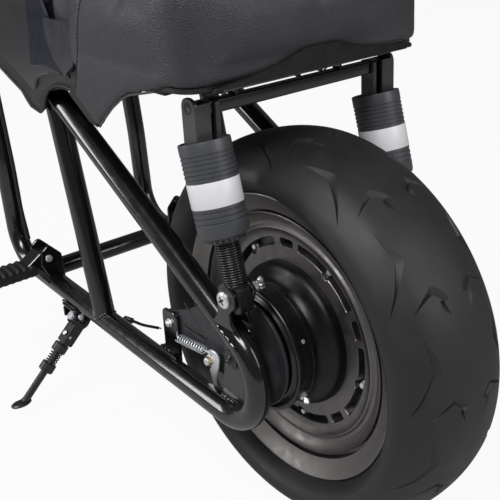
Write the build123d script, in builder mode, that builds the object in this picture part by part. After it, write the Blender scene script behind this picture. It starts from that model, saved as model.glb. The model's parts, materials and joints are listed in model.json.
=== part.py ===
from build123d import *
import os
from math import atan, cos, degrees, radians, sin, tan

os.makedirs("parts", exist_ok=True)

# Rear chassis of a small electric motorcycle, in millimetres. Places are counted from the ground
# under the rear axle, x forward, y to the left and z up, and at() moves them to the model's
# origin, the middle of the steering head's bore.

# Steering head
head_x = 735.0
head_z = 725.0
head_rake = 24.0
head_length = 150.0
head_radius = 28.0
head_bore_radius = 23.5

# Frame tubes, each side one loop
side_y = 124.0
tube_radius = 15.0
cross_tube_radius = 14.0
bend_radius = 59.0
neck_bend_radius = 80.0
neck_straight = 25.0
knee_bend_radius = 400.0
weld_gap = 0.2
front_top = (655.0, 657.3)
rear_corner = (-221.0, 153.0)
lower_corner = (582.0, 180.0)
knee = (590.0, 335.0)
down_top = (629.0, 642.3)
strut_foot = (301.0, 170.5)
strut_head = (370.5, 493.6)
cross_tube_x = 499.0
neck_cross_z = 600.0
neck_target_lift = 22.0
brace_target_drop = 45.0

# Rear wheel
axle_z = 238.5
tyre_radius = 238.5
tyre_half_width = 76.5
bead_radius = 165.0
bead_y = 46.0
lip_y = 51.5
crown_radius = 232.6
crown_y = 42.0
shoulder_radius = 219.0
shoulder_y = 63.0
bulge_radius = 197.0
flange_radius = 176.0
flange_y = 56.0
flange_thickness = 4.0
groove_radius = 150.0
groove_y = 43.0
window_depth = 10.0
groove_width = 4.0
groove_depth = 8.0
barrel_y = 45.0
ridge_radius = 129.0
ridge_y = 36.0
window_inner_radius = 107.0
window_width = 8.5
window_count = 5
window_turn = 121.7
long_window_sweep = 46.0
short_window_sweep = 6.6
window_y = 31.0
motor_radius = 88.5
motor_y = 33.0
dome_radius = 68.8
dome_y = 58.5
dome_flare = 4.0
dome_bevel = 9.0
motor_step = 4.0
motor_step_depth = 6.0
drum_radius = 76.0
drum_lip_height = 2.2
drum_lip_length = 9.6
drum_inner_radius = 60.2
drum_face_depth = 5.6
drum_y = 90.0
axle_radius = 8.0
running_gap = 0.05

# Axle plates, brake and axle caps
plate_y = side_y - 8.0
plate_thickness = 8.0
plate_top_x = 10.0
plate_foot_x = 30.0
plate_rear_angle = 162.0
plate_heel_angle = 246.0
slot_half_height = 9.0
cap_radius = 11.0
cap_skirt = 3.0
washer_radius = 14.0
washer_thickness = 3.0
drum_gap = 5.0
anchor_thickness = 4.0
anchor_radius = 66.0
stay_bolt = (160.0, 213.0)
stay_bolt_radius = 3.0
stay_bolt_head_radius = 5.5
stay_thickness = 5.0
stay_half_length = 17.0
stay_foot_height = 24.0
bolt_radius = 5.0
bolt_head_radius = 9.0
bolt_head_height = 5.0
lever_pivot = (64.0, 199.0)
lever_tip = (53.0, 168.0)
lever_thickness = 3.0
lever_gap = 4.0
lever_boss_radius = 11.0
lever_tip_radius = 4.0
return_spring_radius = 5.0
spring_hook_drop = 8.0
spring_hook_lift = 2.0

# Shocks and seat carriers
shock_y = side_y + 2.7
shock_top = (18.9, 493.4)
shock_shroud_foot = (-8.3, 389.4)
shroud_radius = 28.5
spring_radius = 14.0
rod_radius = 7.0
shroud_wall = 5.0
shroud_roof = 10.0
spring_wall = 5.0
shock_pivot_z = 323.0
eye_radius = 14.0
eye_width = 20.0
spring_seat_lift = 15.0
spring_seat_height = 5.0
ear_thickness = 4.5
clevis_inner_y = shock_y - 5.7
clevis_outer_y = shock_y + 18.3
clevis_rear_x = 5.0
clevis_front_x = 29.0
clevis_top_z = 541.0
clevis_hole_radius = 5.0
bracket_foot_offset = 8.0
bracket_foot_z = 285.0
bracket_foot_length = 40.0
bracket_foot_height = 28.0
cross_bar_x = 18.0
cross_bar_z = 527.0
cross_bar_half = 7.0
fit_gap = 0.3

# Seat, panels and body cover
seat_half_width = 175.0
seat_rear_x = -25.0
seat_front_x = 300.0
seat_base_z = 541.0
seat_base_height = 16.0
cushion_top_z = 690.0
cushion_edge_radius = 35.0
seat_corner_radius = 45.0
seat_waist_x = 185.0
seat_step_x = 212.0
seat_front_half_width = side_y + 26.0
skirt_thickness = 7.0
skirt_outline = [(76, 539), (155, 491), (203, 518)]
skirt_start_x = 40.0
skirt_end_x = 183.0
panel_outline = [(215, 545), (248, 533), (289, 574), (289, 600), (215, 600)]
cover_wall = 4.0
cover_side = 60.0
cover_stations = [
    (312.0, 540.0, 640.0, side_y + 28.0),
    (420.0, 550.0, 740.0, side_y + 28.0),
    (540.0, 595.0, 800.0, side_y + 16.0),
    (650.0, 655.0, 800.0, side_y - 34.0),
]
cheek_outline = [
    (233.0, 520.0),
    (292.0, 536.0),
    (325.0, 530.0),
    (337.0, 520.0),
    (337.0, 475.0),
    (452.0, 519.0),
    (480.0, 580.0),
    (312.0, 560.0),
    (312.0, 540.0),
    (233.0, 540.0),
]
battery_rear_x = 400.0
battery_front_x = 560.0
battery_drop = 6.0
battery_rear_height = 140.0
battery_front_height = 182.0
loom_points = [(556, 214), (568, 262), (571.5, 335), (588.5, 470), (604.5, 590)]
loom_bend_radii = [120.0, 300.0, 900.0]
loom_y = side_y - 6.0
loom_radius = 3.5

# Foot pegs and side stand
peg_hinge_x = 470.0
peg_hinge_y = side_y + 9.0
peg_hinge_z = 219.0
peg_tongue_width = 30.0
peg_tongue_radius = 11.0
peg_pad_start = 22.0
peg_pad_length = 80.0
peg_pad_width = 42.0
peg_pad_height = 26.0
peg_pad_drop = 14.0
peg_pad_corner = 7.5
peg_pin_radius = 4.0
peg_pin_head_radius = 6.4
peg_ear_margin = 2.0
hinge_gap = 0.5
stand_pivot = (384.0, side_y + 4.0, 138.0)
stand_axis_lift = 44.0
stand_leg_end = (9.0, 147.0)
stand_leg_radius = 5.5
stand_fork_width = 22.0
stand_fork_length = 45.0
stand_fork_thickness = 16.0
stand_leg_root = 1.0
stand_pin_radius = 5.0
collar_radius = 11.5
collar_length = 14.0
upper_collar_reach = 45.0
lower_collar_reach = 78.0
stand_foot_length = 34.0
stand_foot_width = 20.0
stand_foot_height = 5.0
stand_foot_lead = 6.7
stand_spring_radius = 9.0
stand_ear_reach = 24.0


def at(x, y, z):
    return Vector(x - head_x, y, z - head_z)


def side_plane(y):
    """A plane at this y whose own coordinates are x and z."""
    return Plane(origin=at(0, y, 0), x_dir=(1, 0, 0), z_dir=(0, -1, 0))


def level_plane(z):
    """A plane at this z whose own coordinates are x and y."""
    return Plane(origin=at(0, 0, z))


def save(builder, label):
    builder.part.label = label
    export_step(builder.part, f"parts/{label}.step")


def in_loop(point, y):
    return at(point[0], y, point[1])


def tube(start, end, radius):
    with BuildPart() as run:
        with BuildSketch(Plane(origin=start, z_dir=end - start)):
            Circle(radius)
        extrude(amount=(end - start).length)
    return run


def bend_ends(before, corner, after, radius):
    toward_before = (before - corner).normalized()
    toward_after = (after - corner).normalized()
    half_angle = radians(toward_before.get_angle(toward_after)) / 2
    reach = radius / tan(half_angle)
    return corner + toward_before * reach, corner + toward_after * reach


def bent_tube(points, radii, radius):
    with BuildPart() as bent:
        with BuildLine():
            FilletPolyline(points, radius=radii)
        with BuildSketch(Plane(origin=points[0], z_dir=points[1] - points[0])):
            Circle(radius)
        sweep()
    return bent


def single_bend(start, corner, end, radius):
    with BuildPart() as bent:
        with BuildLine():
            TangentArc(start, end, tangent=corner - start)
        with BuildSketch(Plane(origin=start, z_dir=corner - start)):
            Circle(radius)
        sweep()
    return bent


def slope(start, end):
    return (end[1] - start[1]) / (end[0] - start[0])


lower_slope = slope(rear_corner, lower_corner)
upper_slope = slope(rear_corner, front_top)


def lower_tube_z(x):
    return rear_corner[1] + (x - rear_corner[0]) * lower_slope


def upper_tube_z(x):
    return rear_corner[1] + (x - rear_corner[0]) * upper_slope


def cut_by(builder, cutters):
    with builder:
        for cutter in cutters:
            add(cutter.part, mode=Mode.SUBTRACT)


# Steering head: a short thick tube, its axis leaning back at the top
head_axis = Vector(-sin(radians(head_rake)), 0, cos(radians(head_rake)))
with BuildPart() as steering_head:
    with BuildSketch(Plane(origin=head_axis * (-head_length / 2), z_dir=head_axis)):
        Circle(head_radius)
        Circle(head_bore_radius, mode=Mode.SUBTRACT)
    extrude(amount=head_length)
save(steering_head, "steering_head")
head_cutter = tube(
    head_axis * (-head_length / 2), head_axis * (head_length / 2), head_radius + weld_gap
)

# The rear bend's centre and the ends of its arc, as x and z
upper_angle = atan(upper_slope)
lower_angle = atan(lower_slope)
middle_angle = (upper_angle + lower_angle) / 2
centre_reach = bend_radius / sin((upper_angle - lower_angle) / 2)
bend_centre_x = rear_corner[0] + centre_reach * cos(middle_angle)
bend_centre_z = rear_corner[1] + centre_reach * sin(middle_angle)


def on_bend(angle, radius):
    """The x and z of a point around the rear bend's centre, its angle in degrees."""
    return (
        bend_centre_x + radius * cos(radians(angle)),
        bend_centre_z + radius * sin(radians(angle)),
    )


# Frame: each side is one loop of bent tube, written as its straight runs and its bends
down_cutters = []
lower_cutters = []
neck_cutters = []
loop_cutters = {}
for side, sign in (("left", 1), ("right", -1)):
    y = sign * side_y
    top_front = in_loop(front_top, y)
    rear = in_loop(rear_corner, y)
    lower_front = in_loop(lower_corner, y)
    rear_above, rear_below = bend_ends(top_front, rear, lower_front, bend_radius)
    front_below, front_above = bend_ends(rear, lower_front, in_loop(knee, y), bend_radius)
    neck_end = head_axis * neck_target_lift
    neck_bend_start, _ = bend_ends(rear, top_front, neck_end, neck_bend_radius)
    neck_start = neck_bend_start + (rear - top_front).normalized() * neck_straight

    save(tube(rear_above, neck_start, tube_radius), f"{side}_upper_tube")
    save(single_bend(rear_above, rear, rear_below, tube_radius), f"{side}_rear_bend")
    save(tube(rear_below, front_below, tube_radius), f"{side}_lower_tube")
    save(single_bend(front_below, lower_front, front_above, tube_radius), f"{side}_front_bend")

    neck_points = [neck_start, top_front, neck_end]
    neck = bent_tube(neck_points, neck_bend_radius, tube_radius)
    cut_by(neck, [head_cutter])
    with neck:
        split(bisect_by=Plane(origin=(0, sign * weld_gap / 2, 0), z_dir=(0, sign, 0)))
    save(neck, f"{side}_neck_tube")

    upper_cutter = tube(rear_above, neck_start, tube_radius + weld_gap)
    neck_cutter = bent_tube(neck_points, neck_bend_radius, tube_radius + weld_gap)
    lower_cutter = tube(rear_below, front_below, tube_radius + weld_gap)

    down_points = [front_above, in_loop(knee, y), in_loop(down_top, y)]
    down = bent_tube(down_points, knee_bend_radius, tube_radius)
    cut_by(down, [upper_cutter, neck_cutter])
    save(down, f"{side}_down_tube")

    strut = tube(in_loop(strut_foot, y), in_loop(strut_head, y), tube_radius)
    cut_by(strut, [upper_cutter, lower_cutter])
    save(strut, f"{side}_strut")

    down_cutters.append(bent_tube(down_points, knee_bend_radius, tube_radius + weld_gap))
    lower_cutters.append(lower_cutter)
    neck_cutters.append(neck_cutter)
    rear_cutter = single_bend(rear_above, rear, rear_below, tube_radius + weld_gap)
    loop_cutters[side] = [upper_cutter, rear_cutter, lower_cutter]

# Cross tubes between the two loops, and the brace under the steering head
cross_tube_z = lower_tube_z(cross_tube_x)
lower_cross_tube = tube(
    at(cross_tube_x, side_y, cross_tube_z), at(cross_tube_x, -side_y, cross_tube_z), cross_tube_radius
)
cut_by(lower_cross_tube, lower_cutters)
save(lower_cross_tube, "lower_cross_tube")

down_slope = (down_top[0] - knee[0]) / (down_top[1] - knee[1])
neck_cross_x = knee[0] + (neck_cross_z - knee[1]) * down_slope
neck_cross_start = at(neck_cross_x, side_y, neck_cross_z)
neck_cross_end = at(neck_cross_x, -side_y, neck_cross_z)
neck_cross_tube = tube(neck_cross_start, neck_cross_end, cross_tube_radius)
cut_by(neck_cross_tube, down_cutters)
save(neck_cross_tube, "neck_cross_tube")

brace = tube(at(neck_cross_x, 0, neck_cross_z), head_axis * -brace_target_drop, tube_radius)
cut_by(brace, [head_cutter, tube(neck_cross_start, neck_cross_end, cross_tube_radius + weld_gap)])
save(brace, "neck_brace")

# Rear wheel: every piece is turned about the axle
wheel_plane = Plane(origin=at(0, 0, axle_z), x_dir=(0, 1, 0), z_dir=(1, 0, 0))
wheel_axis = Axis(wheel_plane.origin, (0, 1, 0))

with BuildPart() as tyre:
    with BuildSketch(wheel_plane):
        with BuildLine():
            Line((0, bead_radius), (bead_y, bead_radius))
            Line((bead_y, bead_radius), (lip_y, flange_radius))
            Spline(
                (lip_y, flange_radius),
                (tyre_half_width, bulge_radius),
                (shoulder_y, shoulder_radius),
                (crown_y, crown_radius),
                (0, tyre_radius),
                tangents=((1, 0.4), (-1, 0)),
            )
            Line((0, tyre_radius), (0, bead_radius))
        make_face()
    revolve(axis=wheel_axis)
    mirror(about=Plane.XZ)
save(tyre, "rear_tyre")

# One half of the rim, from the wheel's middle to its left edge, and its mirror image
rim_seat_radius = bead_radius - fit_gap
with BuildPart() as rim:
    with BuildSketch(wheel_plane):
        with BuildLine():
            Polyline(
                (0, motor_radius + weld_gap),
                (motor_y, motor_radius + weld_gap),
                (window_y, window_inner_radius),
                (window_y, window_inner_radius + window_width),
                (ridge_y, ridge_radius),
                (groove_y, groove_radius),
                (groove_y - groove_depth, groove_radius + groove_width / 2),
                (barrel_y, groove_radius + groove_width),
                (flange_y, flange_radius - flange_thickness),
                (flange_y, flange_radius),
                (lip_y + fit_gap, flange_radius),
                (bead_y + fit_gap, rim_seat_radius),
                (0, rim_seat_radius),
                close=True,
            )
        make_face()
    revolve(axis=wheel_axis)
    window_middle = window_inner_radius + window_width / 2
    window_plane = Plane(
        origin=at(0, window_y + window_width, axle_z), x_dir=(1, 0, 0), z_dir=(0, -1, 0)
    )
    with BuildSketch(window_plane):
        for number in range(window_count):
            long_middle = window_turn + number * 360 / window_count
            short_middle = long_middle + 180 / window_count
            for middle_angle, slot_sweep in (
                (long_middle, long_window_sweep),
                (short_middle, short_window_sweep),
            ):
                window_arc = CenterArc(
                    (0, 0),
                    window_middle,
                    middle_angle - slot_sweep / 2,
                    slot_sweep,
                    mode=Mode.PRIVATE,
                )
                SlotArc(window_arc, window_width)
    extrude(amount=window_width + window_depth, mode=Mode.SUBTRACT)
    mirror(about=Plane.XZ)
save(rim, "rear_rim")

with BuildPart() as motor:
    with BuildSketch(wheel_plane):
        with BuildLine():
            Polyline(
                (0, axle_radius + running_gap),
                (dome_y, axle_radius + running_gap),
                (dome_y, dome_radius),
                (dome_y - dome_bevel, dome_radius + dome_flare),
                (motor_y + motor_step, motor_radius - motor_step_depth),
                (motor_y, motor_radius),
                (0, motor_radius),
                close=True,
            )
        make_face()
    revolve(axis=wheel_axis)
    mirror(about=Plane.XZ)
save(motor, "hub_motor")

drum_start_y = dome_y + weld_gap
with BuildPart() as drum:
    with BuildSketch(wheel_plane):
        with BuildLine():
            Polyline(
                (drum_start_y, axle_radius + running_gap),
                (drum_start_y, drum_radius - drum_lip_height),
                (drum_y - drum_lip_length, drum_radius - drum_lip_height),
                (drum_y - drum_lip_length + drum_lip_height, drum_radius),
                (drum_y, drum_radius),
                (drum_y, drum_inner_radius),
                (drum_y - drum_face_depth, drum_inner_radius),
                (drum_y - drum_face_depth, axle_radius + running_gap),
                close=True,
            )
        make_face()
    revolve(axis=wheel_axis)
save(drum, "brake_drum")

# Axle plates fill the rear bends of the frame, with a slot for the axle open to the rear
upper_tangent = degrees(upper_angle) + 90
for side, sign in (("left", 1), ("right", -1)):
    with BuildPart() as plate:
        with BuildSketch(side_plane(sign * plate_y)):
            with BuildLine():
                heel_line = Polyline(
                    on_bend(upper_tangent, bend_radius),
                    (plate_top_x, upper_tube_z(plate_top_x)),
                    (plate_foot_x, lower_tube_z(plate_foot_x)),
                    on_bend(plate_heel_angle, bend_radius),
                    on_bend(plate_rear_angle, bend_radius - tube_radius),
                    on_bend(plate_rear_angle, bend_radius),
                )
                ThreePointArc(
                    heel_line @ 1,
                    on_bend((plate_rear_angle + upper_tangent) / 2, bend_radius),
                    heel_line @ 0,
                )
            make_face()
            with Locations((0, axle_z)):
                Circle(slot_half_height, mode=Mode.SUBTRACT)
                Rectangle(
                    bend_radius,
                    slot_half_height * 2,
                    align=(Align.MAX, Align.CENTER),
                    mode=Mode.SUBTRACT,
                )
        extrude(amount=plate_thickness / 2, both=True)
    cut_by(plate, loop_cutters[side])
    save(plate, f"{side}_axle_plate")

# Axle: a fixed shaft with a washer and a nut outside each plate and a spacer inside each
plate_outer_y = plate_y + plate_thickness / 2
plate_inner_y = plate_y - plate_thickness / 2
with BuildPart() as axle:
    with BuildSketch(wheel_plane):
        with BuildLine():
            Polyline(
                (0, 0),
                (plate_outer_y + washer_thickness, 0),
                (plate_outer_y + washer_thickness, washer_radius),
                (plate_outer_y + weld_gap, washer_radius),
                (plate_outer_y + weld_gap, axle_radius),
                (0, axle_radius),
                close=True,
            )
        make_face()
    revolve(axis=wheel_axis)
    mirror(about=Plane.XZ)
save(axle, "rear_axle")

with BuildPart() as caps:
    with BuildSketch(wheel_plane):
        cap_start_y = plate_outer_y + washer_thickness
        with BuildLine():
            Line((cap_start_y, 0), (cap_start_y, cap_radius))
            Line((cap_start_y, cap_radius), (cap_start_y + cap_skirt, cap_radius))
            RadiusArc(
                (cap_start_y + cap_skirt, cap_radius), (cap_start_y + cap_skirt + cap_radius, 0),
                -cap_radius,
            )
            Line((cap_start_y + cap_skirt + cap_radius, 0), (cap_start_y, 0))
        make_face()
    revolve(axis=wheel_axis)
    mirror(about=Plane.XZ)
save(caps, "axle_caps")

# Brake: a fixed anchor plate beside the drum, held at its front by a bolt to the stay
anchor_inner_y = drum_y + drum_gap
anchor_outer_y = anchor_inner_y + anchor_thickness
with BuildPart() as anchor_plate:
    with BuildSketch(side_plane(anchor_inner_y)):
        with Locations((0, axle_z)):
            Circle(anchor_radius)
        with Locations(stay_bolt):
            Circle(stay_half_length)
        with Locations(lever_pivot):
            Circle(stay_half_length)
        make_hull()
        with Locations((0, axle_z)):
            Circle(axle_radius + running_gap, mode=Mode.SUBTRACT)
        with Locations(stay_bolt):
            Circle(stay_bolt_radius + weld_gap, mode=Mode.SUBTRACT)
    extrude(amount=-anchor_thickness)
    with BuildSketch(wheel_plane):
        with Locations((anchor_outer_y, axle_radius + running_gap)):
            Rectangle(
                plate_inner_y - weld_gap - anchor_outer_y,
                cap_radius - axle_radius,
                align=(Align.MIN, Align.MIN),
            )
    revolve(axis=wheel_axis)
save(anchor_plate, "brake_anchor_plate")

with BuildPart() as spacer:
    with BuildSketch(wheel_plane):
        with Locations((-plate_inner_y + weld_gap, axle_radius + running_gap)):
            Rectangle(
                plate_inner_y - dome_y - drum_gap,
                cap_radius - axle_radius,
                align=(Align.MIN, Align.MIN),
            )
    revolve(axis=wheel_axis)
save(spacer, "axle_spacer")

stay_inner_y = anchor_outer_y + weld_gap
with BuildPart() as stay:
    with BuildSketch(side_plane(stay_inner_y)):
        with BuildLine():
            stay_foot_z = lower_tube_z(stay_bolt[0])
            Polyline(
                (stay_bolt[0] - stay_half_length, stay_bolt[1]),
                (stay_bolt[0] - stay_half_length, stay_foot_z),
                (stay_bolt[0] + stay_half_length, stay_foot_z),
                (stay_bolt[0] + stay_half_length, stay_bolt[1]),
            )
            ThreePointArc(
                (stay_bolt[0] + stay_half_length, stay_bolt[1]),
                (stay_bolt[0], stay_bolt[1] + stay_half_length),
                (stay_bolt[0] - stay_half_length, stay_bolt[1]),
            )
        make_face()
        with Locations(stay_bolt):
            Circle(stay_bolt_radius + weld_gap, mode=Mode.SUBTRACT)
    extrude(amount=-stay_thickness)
    with BuildSketch(side_plane(stay_inner_y)):
        with Locations((stay_bolt[0], stay_foot_z)):
            Rectangle(stay_half_length * 2, stay_foot_height)
    extrude(amount=-(side_y - stay_inner_y))
cut_by(stay, loop_cutters["left"])
save(stay, "brake_stay")

with BuildPart() as stay_fastener:
    with BuildSketch(side_plane(anchor_inner_y - weld_gap)):
        with Locations(stay_bolt):
            RegularPolygon(stay_bolt_head_radius, 6)
    extrude(amount=bolt_head_height)
    with BuildSketch(side_plane(anchor_inner_y - weld_gap)):
        with Locations(stay_bolt):
            Circle(stay_bolt_radius)
    extrude(amount=-(anchor_thickness + stay_thickness + 3 * weld_gap))
    with BuildSketch(side_plane(stay_inner_y + stay_thickness + weld_gap)):
        with Locations(stay_bolt):
            Circle(stay_bolt_head_radius)
    extrude(amount=-bolt_head_height)
save(stay_fastener, "brake_stay_bolt")

lever_y = anchor_outer_y + lever_gap
with BuildPart() as lever:
    with BuildSketch(side_plane(lever_y)):
        with Locations(lever_pivot):
            Circle(lever_boss_radius)
        with Locations(lever_tip):
            Circle(lever_tip_radius)
        make_hull()
    extrude(amount=-lever_thickness)
    with BuildSketch(side_plane(lever_y)):
        with Locations(lever_pivot):
            Circle(bolt_radius)
    extrude(amount=lever_gap - weld_gap)
    with BuildSketch(side_plane(lever_y)):
        with Locations(lever_pivot):
            Circle(bolt_radius)
    extrude(amount=-(lever_thickness + bolt_head_height))
save(lever, "brake_lever")

spring_y = lever_y + lever_thickness / 2
spring_start = at(stay_bolt[0] - stay_half_length - bolt_radius, spring_y, stay_bolt[1] - spring_hook_drop)
spring_end = at(lever_pivot[0] + lever_boss_radius + weld_gap, spring_y, lever_pivot[1] + spring_hook_lift)
save(tube(spring_start, spring_end, return_spring_radius), "brake_return_spring")

# Shocks: each joins a carrier of the seat to a bracket on the frame's rear bend
shock_lean = slope(shock_top[::-1], shock_shroud_foot[::-1])
shock_pivot_x = shock_top[0] + (shock_pivot_z - shock_top[1]) * shock_lean
shroud_length = (shock_top[1] - shock_shroud_foot[1]) / cos(atan(shock_lean))
tube_under_pivot = at(shock_pivot_x, 0, upper_tube_z(shock_pivot_x))
tube_normal = Vector(-sin(upper_angle), 0, cos(upper_angle))
for side, sign in (("left", 1), ("right", -1)):
    top = at(shock_top[0], sign * shock_y, shock_top[1])
    pivot = at(shock_pivot_x, sign * shock_y, shock_pivot_z)
    down = (pivot - top).normalized()
    pivot_reach = (pivot - top).length
    spring_seat_reach = pivot_reach - spring_seat_lift - spring_seat_height

    with BuildPart() as shroud:
        with BuildSketch(Plane(origin=top, z_dir=down)):
            Circle(shroud_radius)
        extrude(amount=shroud_length)
        with BuildSketch(Plane(origin=top + down * shroud_roof, z_dir=down)):
            Circle(shroud_radius - shroud_wall)
        extrude(amount=shroud_length, mode=Mode.SUBTRACT)
    save(shroud, f"{side}_shock_shroud")

    spring_start = top + down * (shroud_roof + weld_gap)
    spring_end = top + down * (spring_seat_reach - weld_gap)
    with BuildPart() as spring:
        with BuildSketch(Plane(origin=spring_start, z_dir=down)):
            Circle(spring_radius)
            Circle(spring_radius - spring_wall, mode=Mode.SUBTRACT)
        extrude(amount=(spring_end - spring_start).length)
    save(spring, f"{side}_shock_spring")

    with BuildPart() as eye:
        with BuildSketch(Plane(origin=top + down * spring_seat_reach, z_dir=down)):
            Circle(spring_radius)
        extrude(amount=spring_seat_height)
        with BuildSketch(Plane(origin=spring_start, z_dir=down)):
            Circle(rod_radius)
        extrude(amount=pivot_reach - shroud_roof)
        with BuildSketch(side_plane(sign * shock_y)):
            with Locations((shock_pivot_x, shock_pivot_z)):
                Circle(eye_radius)
        extrude(amount=eye_width / 2, both=True)
        with BuildSketch(side_plane(sign * shock_y)):
            with Locations((shock_pivot_x, shock_pivot_z)):
                Circle(bolt_radius + weld_gap)
        extrude(amount=eye_width, both=True, mode=Mode.SUBTRACT)
    save(eye, f"{side}_shock_eye")

    # Bracket on the tube: an ear on each side of the shock's eye, and the bolt through them
    with BuildPart() as bracket:
        for ear in (-1, 1):
            ear_middle = shock_y + ear * (eye_width / 2 + fit_gap + ear_thickness / 2)
            with BuildSketch(side_plane(sign * ear_middle)):
                with Locations((shock_pivot_x, shock_pivot_z)):
                    Circle(eye_radius)
                with Locations((shock_pivot_x + bracket_foot_offset, bracket_foot_z)):
                    Rectangle(bracket_foot_length, bracket_foot_height)
                make_hull()
            extrude(amount=ear_thickness / 2, both=True)
        with BuildSketch(side_plane(sign * shock_y)):
            with Locations((shock_pivot_x, shock_pivot_z)):
                Circle(bolt_radius)
        extrude(amount=eye_width / 2 + ear_thickness + fit_gap, both=True)
        head_y = shock_y + eye_width / 2 + fit_gap + ear_thickness
        with BuildSketch(side_plane(sign * head_y)):
            with Locations((shock_pivot_x, shock_pivot_z)):
                Circle(bolt_head_radius)
        extrude(amount=-sign * bolt_head_height)
        split(bisect_by=Plane(origin=tube_under_pivot, z_dir=tube_normal))
    cut_by(bracket, loop_cutters[side])
    save(bracket, f"{side}_shock_bracket")

    # Clevis above the shroud, open to the front, carrying one end of the seat's cross bar
    shroud_cutter = tube(top, top + down * shroud_length, shroud_radius + weld_gap)
    clevis_middle_y = sign * (clevis_inner_y + clevis_outer_y) / 2
    with BuildPart() as clevis:
        with BuildSketch(side_plane(clevis_middle_y)):
            with Locations((clevis_rear_x, clevis_top_z)):
                Rectangle(
                    clevis_front_x - clevis_rear_x,
                    clevis_top_z - shock_top[1] + shroud_radius,
                    align=(Align.MIN, Align.MAX),
                )
        extrude(amount=(clevis_outer_y - clevis_inner_y) / 2, both=True)
        with BuildSketch(side_plane(clevis_middle_y)):
            with Locations((clevis_rear_x + ear_thickness, clevis_top_z)):
                Rectangle(
                    clevis_front_x,
                    clevis_top_z - shock_top[1] + shroud_radius,
                    align=(Align.MIN, Align.MAX),
                )
        extrude(
            amount=(clevis_outer_y - clevis_inner_y) / 2 - ear_thickness,
            both=True,
            mode=Mode.SUBTRACT,
        )
        with BuildSketch(side_plane(sign * clevis_outer_y)):
            with Locations((cross_bar_x, cross_bar_z)):
                Circle(clevis_hole_radius)
        extrude(amount=sign * ear_thickness * 2, mode=Mode.SUBTRACT)
    cut_by(clevis, [shroud_cutter])
    save(clevis, f"{side}_shock_clevis")

with BuildPart() as cross_bar:
    with BuildSketch(side_plane(0)):
        with Locations((cross_bar_x, cross_bar_z)):
            Rectangle(cross_bar_half * 2, cross_bar_half * 2)
    extrude(amount=clevis_inner_y - weld_gap, both=True)
save(cross_bar, "seat_cross_bar")

# Seat: a flat pan on the cross bar, its cushion, and a padded skirt down each side
cushion_floor_z = seat_base_z + seat_base_height + fit_gap + weld_gap
with BuildSketch() as seat_plan:
    with BuildLine():
        Polyline(
            (seat_front_x, -seat_front_half_width),
            (seat_step_x, -seat_front_half_width),
            (seat_waist_x, -seat_half_width),
            (seat_rear_x, -seat_half_width),
            (seat_rear_x, seat_half_width),
            (seat_waist_x, seat_half_width),
            (seat_step_x, seat_front_half_width),
            (seat_front_x, seat_front_half_width),
            close=True,
        )
    make_face()
    fillet(seat_plan.vertices().group_by(Axis.X)[0], seat_corner_radius)

with BuildPart() as seat_pan:
    with BuildSketch(level_plane(seat_base_z + weld_gap)):
        add(seat_plan.sketch)
        offset(amount=-(skirt_thickness + fit_gap))
    extrude(amount=seat_base_height)
    with Locations(at(cross_bar_x, 0, (seat_base_z + cross_bar_z + cross_bar_half) / 2 + weld_gap)):
        Box(cross_bar_half * 2, clevis_inner_y, seat_base_z - cross_bar_z - cross_bar_half)
save(seat_pan, "seat_pan")

with BuildPart() as cushion:
    with BuildSketch(level_plane(cushion_floor_z)):
        add(seat_plan.sketch)
    extrude(amount=cushion_top_z - cushion_floor_z)
    fillet(cushion.faces().sort_by(Axis.Z)[-1].edges(), cushion_edge_radius)
save(cushion, "seat_cushion")

skirt_top_z = cushion_floor_z - fit_gap
for side, sign in (("left", 1), ("right", -1)):
    with BuildPart() as skirt:
        with BuildSketch(side_plane(sign * (seat_half_width - skirt_thickness / 2))):
            with BuildLine():
                Polyline(
                    (skirt_end_x, skirt_top_z), (skirt_start_x, skirt_top_z), *skirt_outline, close=True
                )
            make_face()
        extrude(amount=skirt_thickness / 2, both=True)
    save(skirt, f"{side}_seat_skirt")

    with BuildPart() as panel:
        with BuildSketch(side_plane(sign * (cover_stations[0][3] + fit_gap))):
            with BuildLine():
                Polyline(*panel_outline, panel_outline[0])
            make_face()
        extrude(amount=-sign * skirt_thickness)
    save(panel, f"{side}_side_panel")

# Body cover: a tank-shaped shell over the upper tubes, open below, with a cheek down each side
def cover_section(x, floor_z, roof_z, half_width):
    with BuildSketch(Plane(origin=at(x, 0, 0), x_dir=(0, 1, 0), z_dir=(1, 0, 0))) as section:
        with BuildLine():
            Polyline(
                (-half_width, floor_z + cover_side),
                (-half_width, floor_z),
                (half_width, floor_z),
                (half_width, floor_z + cover_side),
            )
            Spline(
                (half_width, floor_z + cover_side),
                (0, roof_z),
                (-half_width, floor_z + cover_side),
                tangents=((0, 1), (0, -1)),
            )
        make_face()
    return section.sketch


outer_sections = []
inner_sections = []
for x, floor_z, roof_z, half_width in cover_stations:
    inner_x = x + cover_wall * ((x == cover_stations[0][0]) - (x == cover_stations[-1][0]))
    outer_sections.append(cover_section(x, floor_z, roof_z, half_width))
    inner_sections.append(
        cover_section(inner_x, floor_z - cover_wall, roof_z - cover_wall, half_width - cover_wall)
    )
with BuildPart() as cover:
    loft(outer_sections)
    loft(inner_sections, mode=Mode.SUBTRACT)
    for sign in (1, -1):
        cheek_y = sign * (cover_stations[0][3] - cover_wall / 2)
        with BuildSketch(side_plane(cheek_y)):
            with BuildLine():
                Polyline(*cheek_outline, cheek_outline[0])
            make_face()
        extrude(amount=cover_wall / 2, both=True)
cut_by(cover, loop_cutters["left"] + loop_cutters["right"] + neck_cutters)
save(cover, "body_cover")

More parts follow.
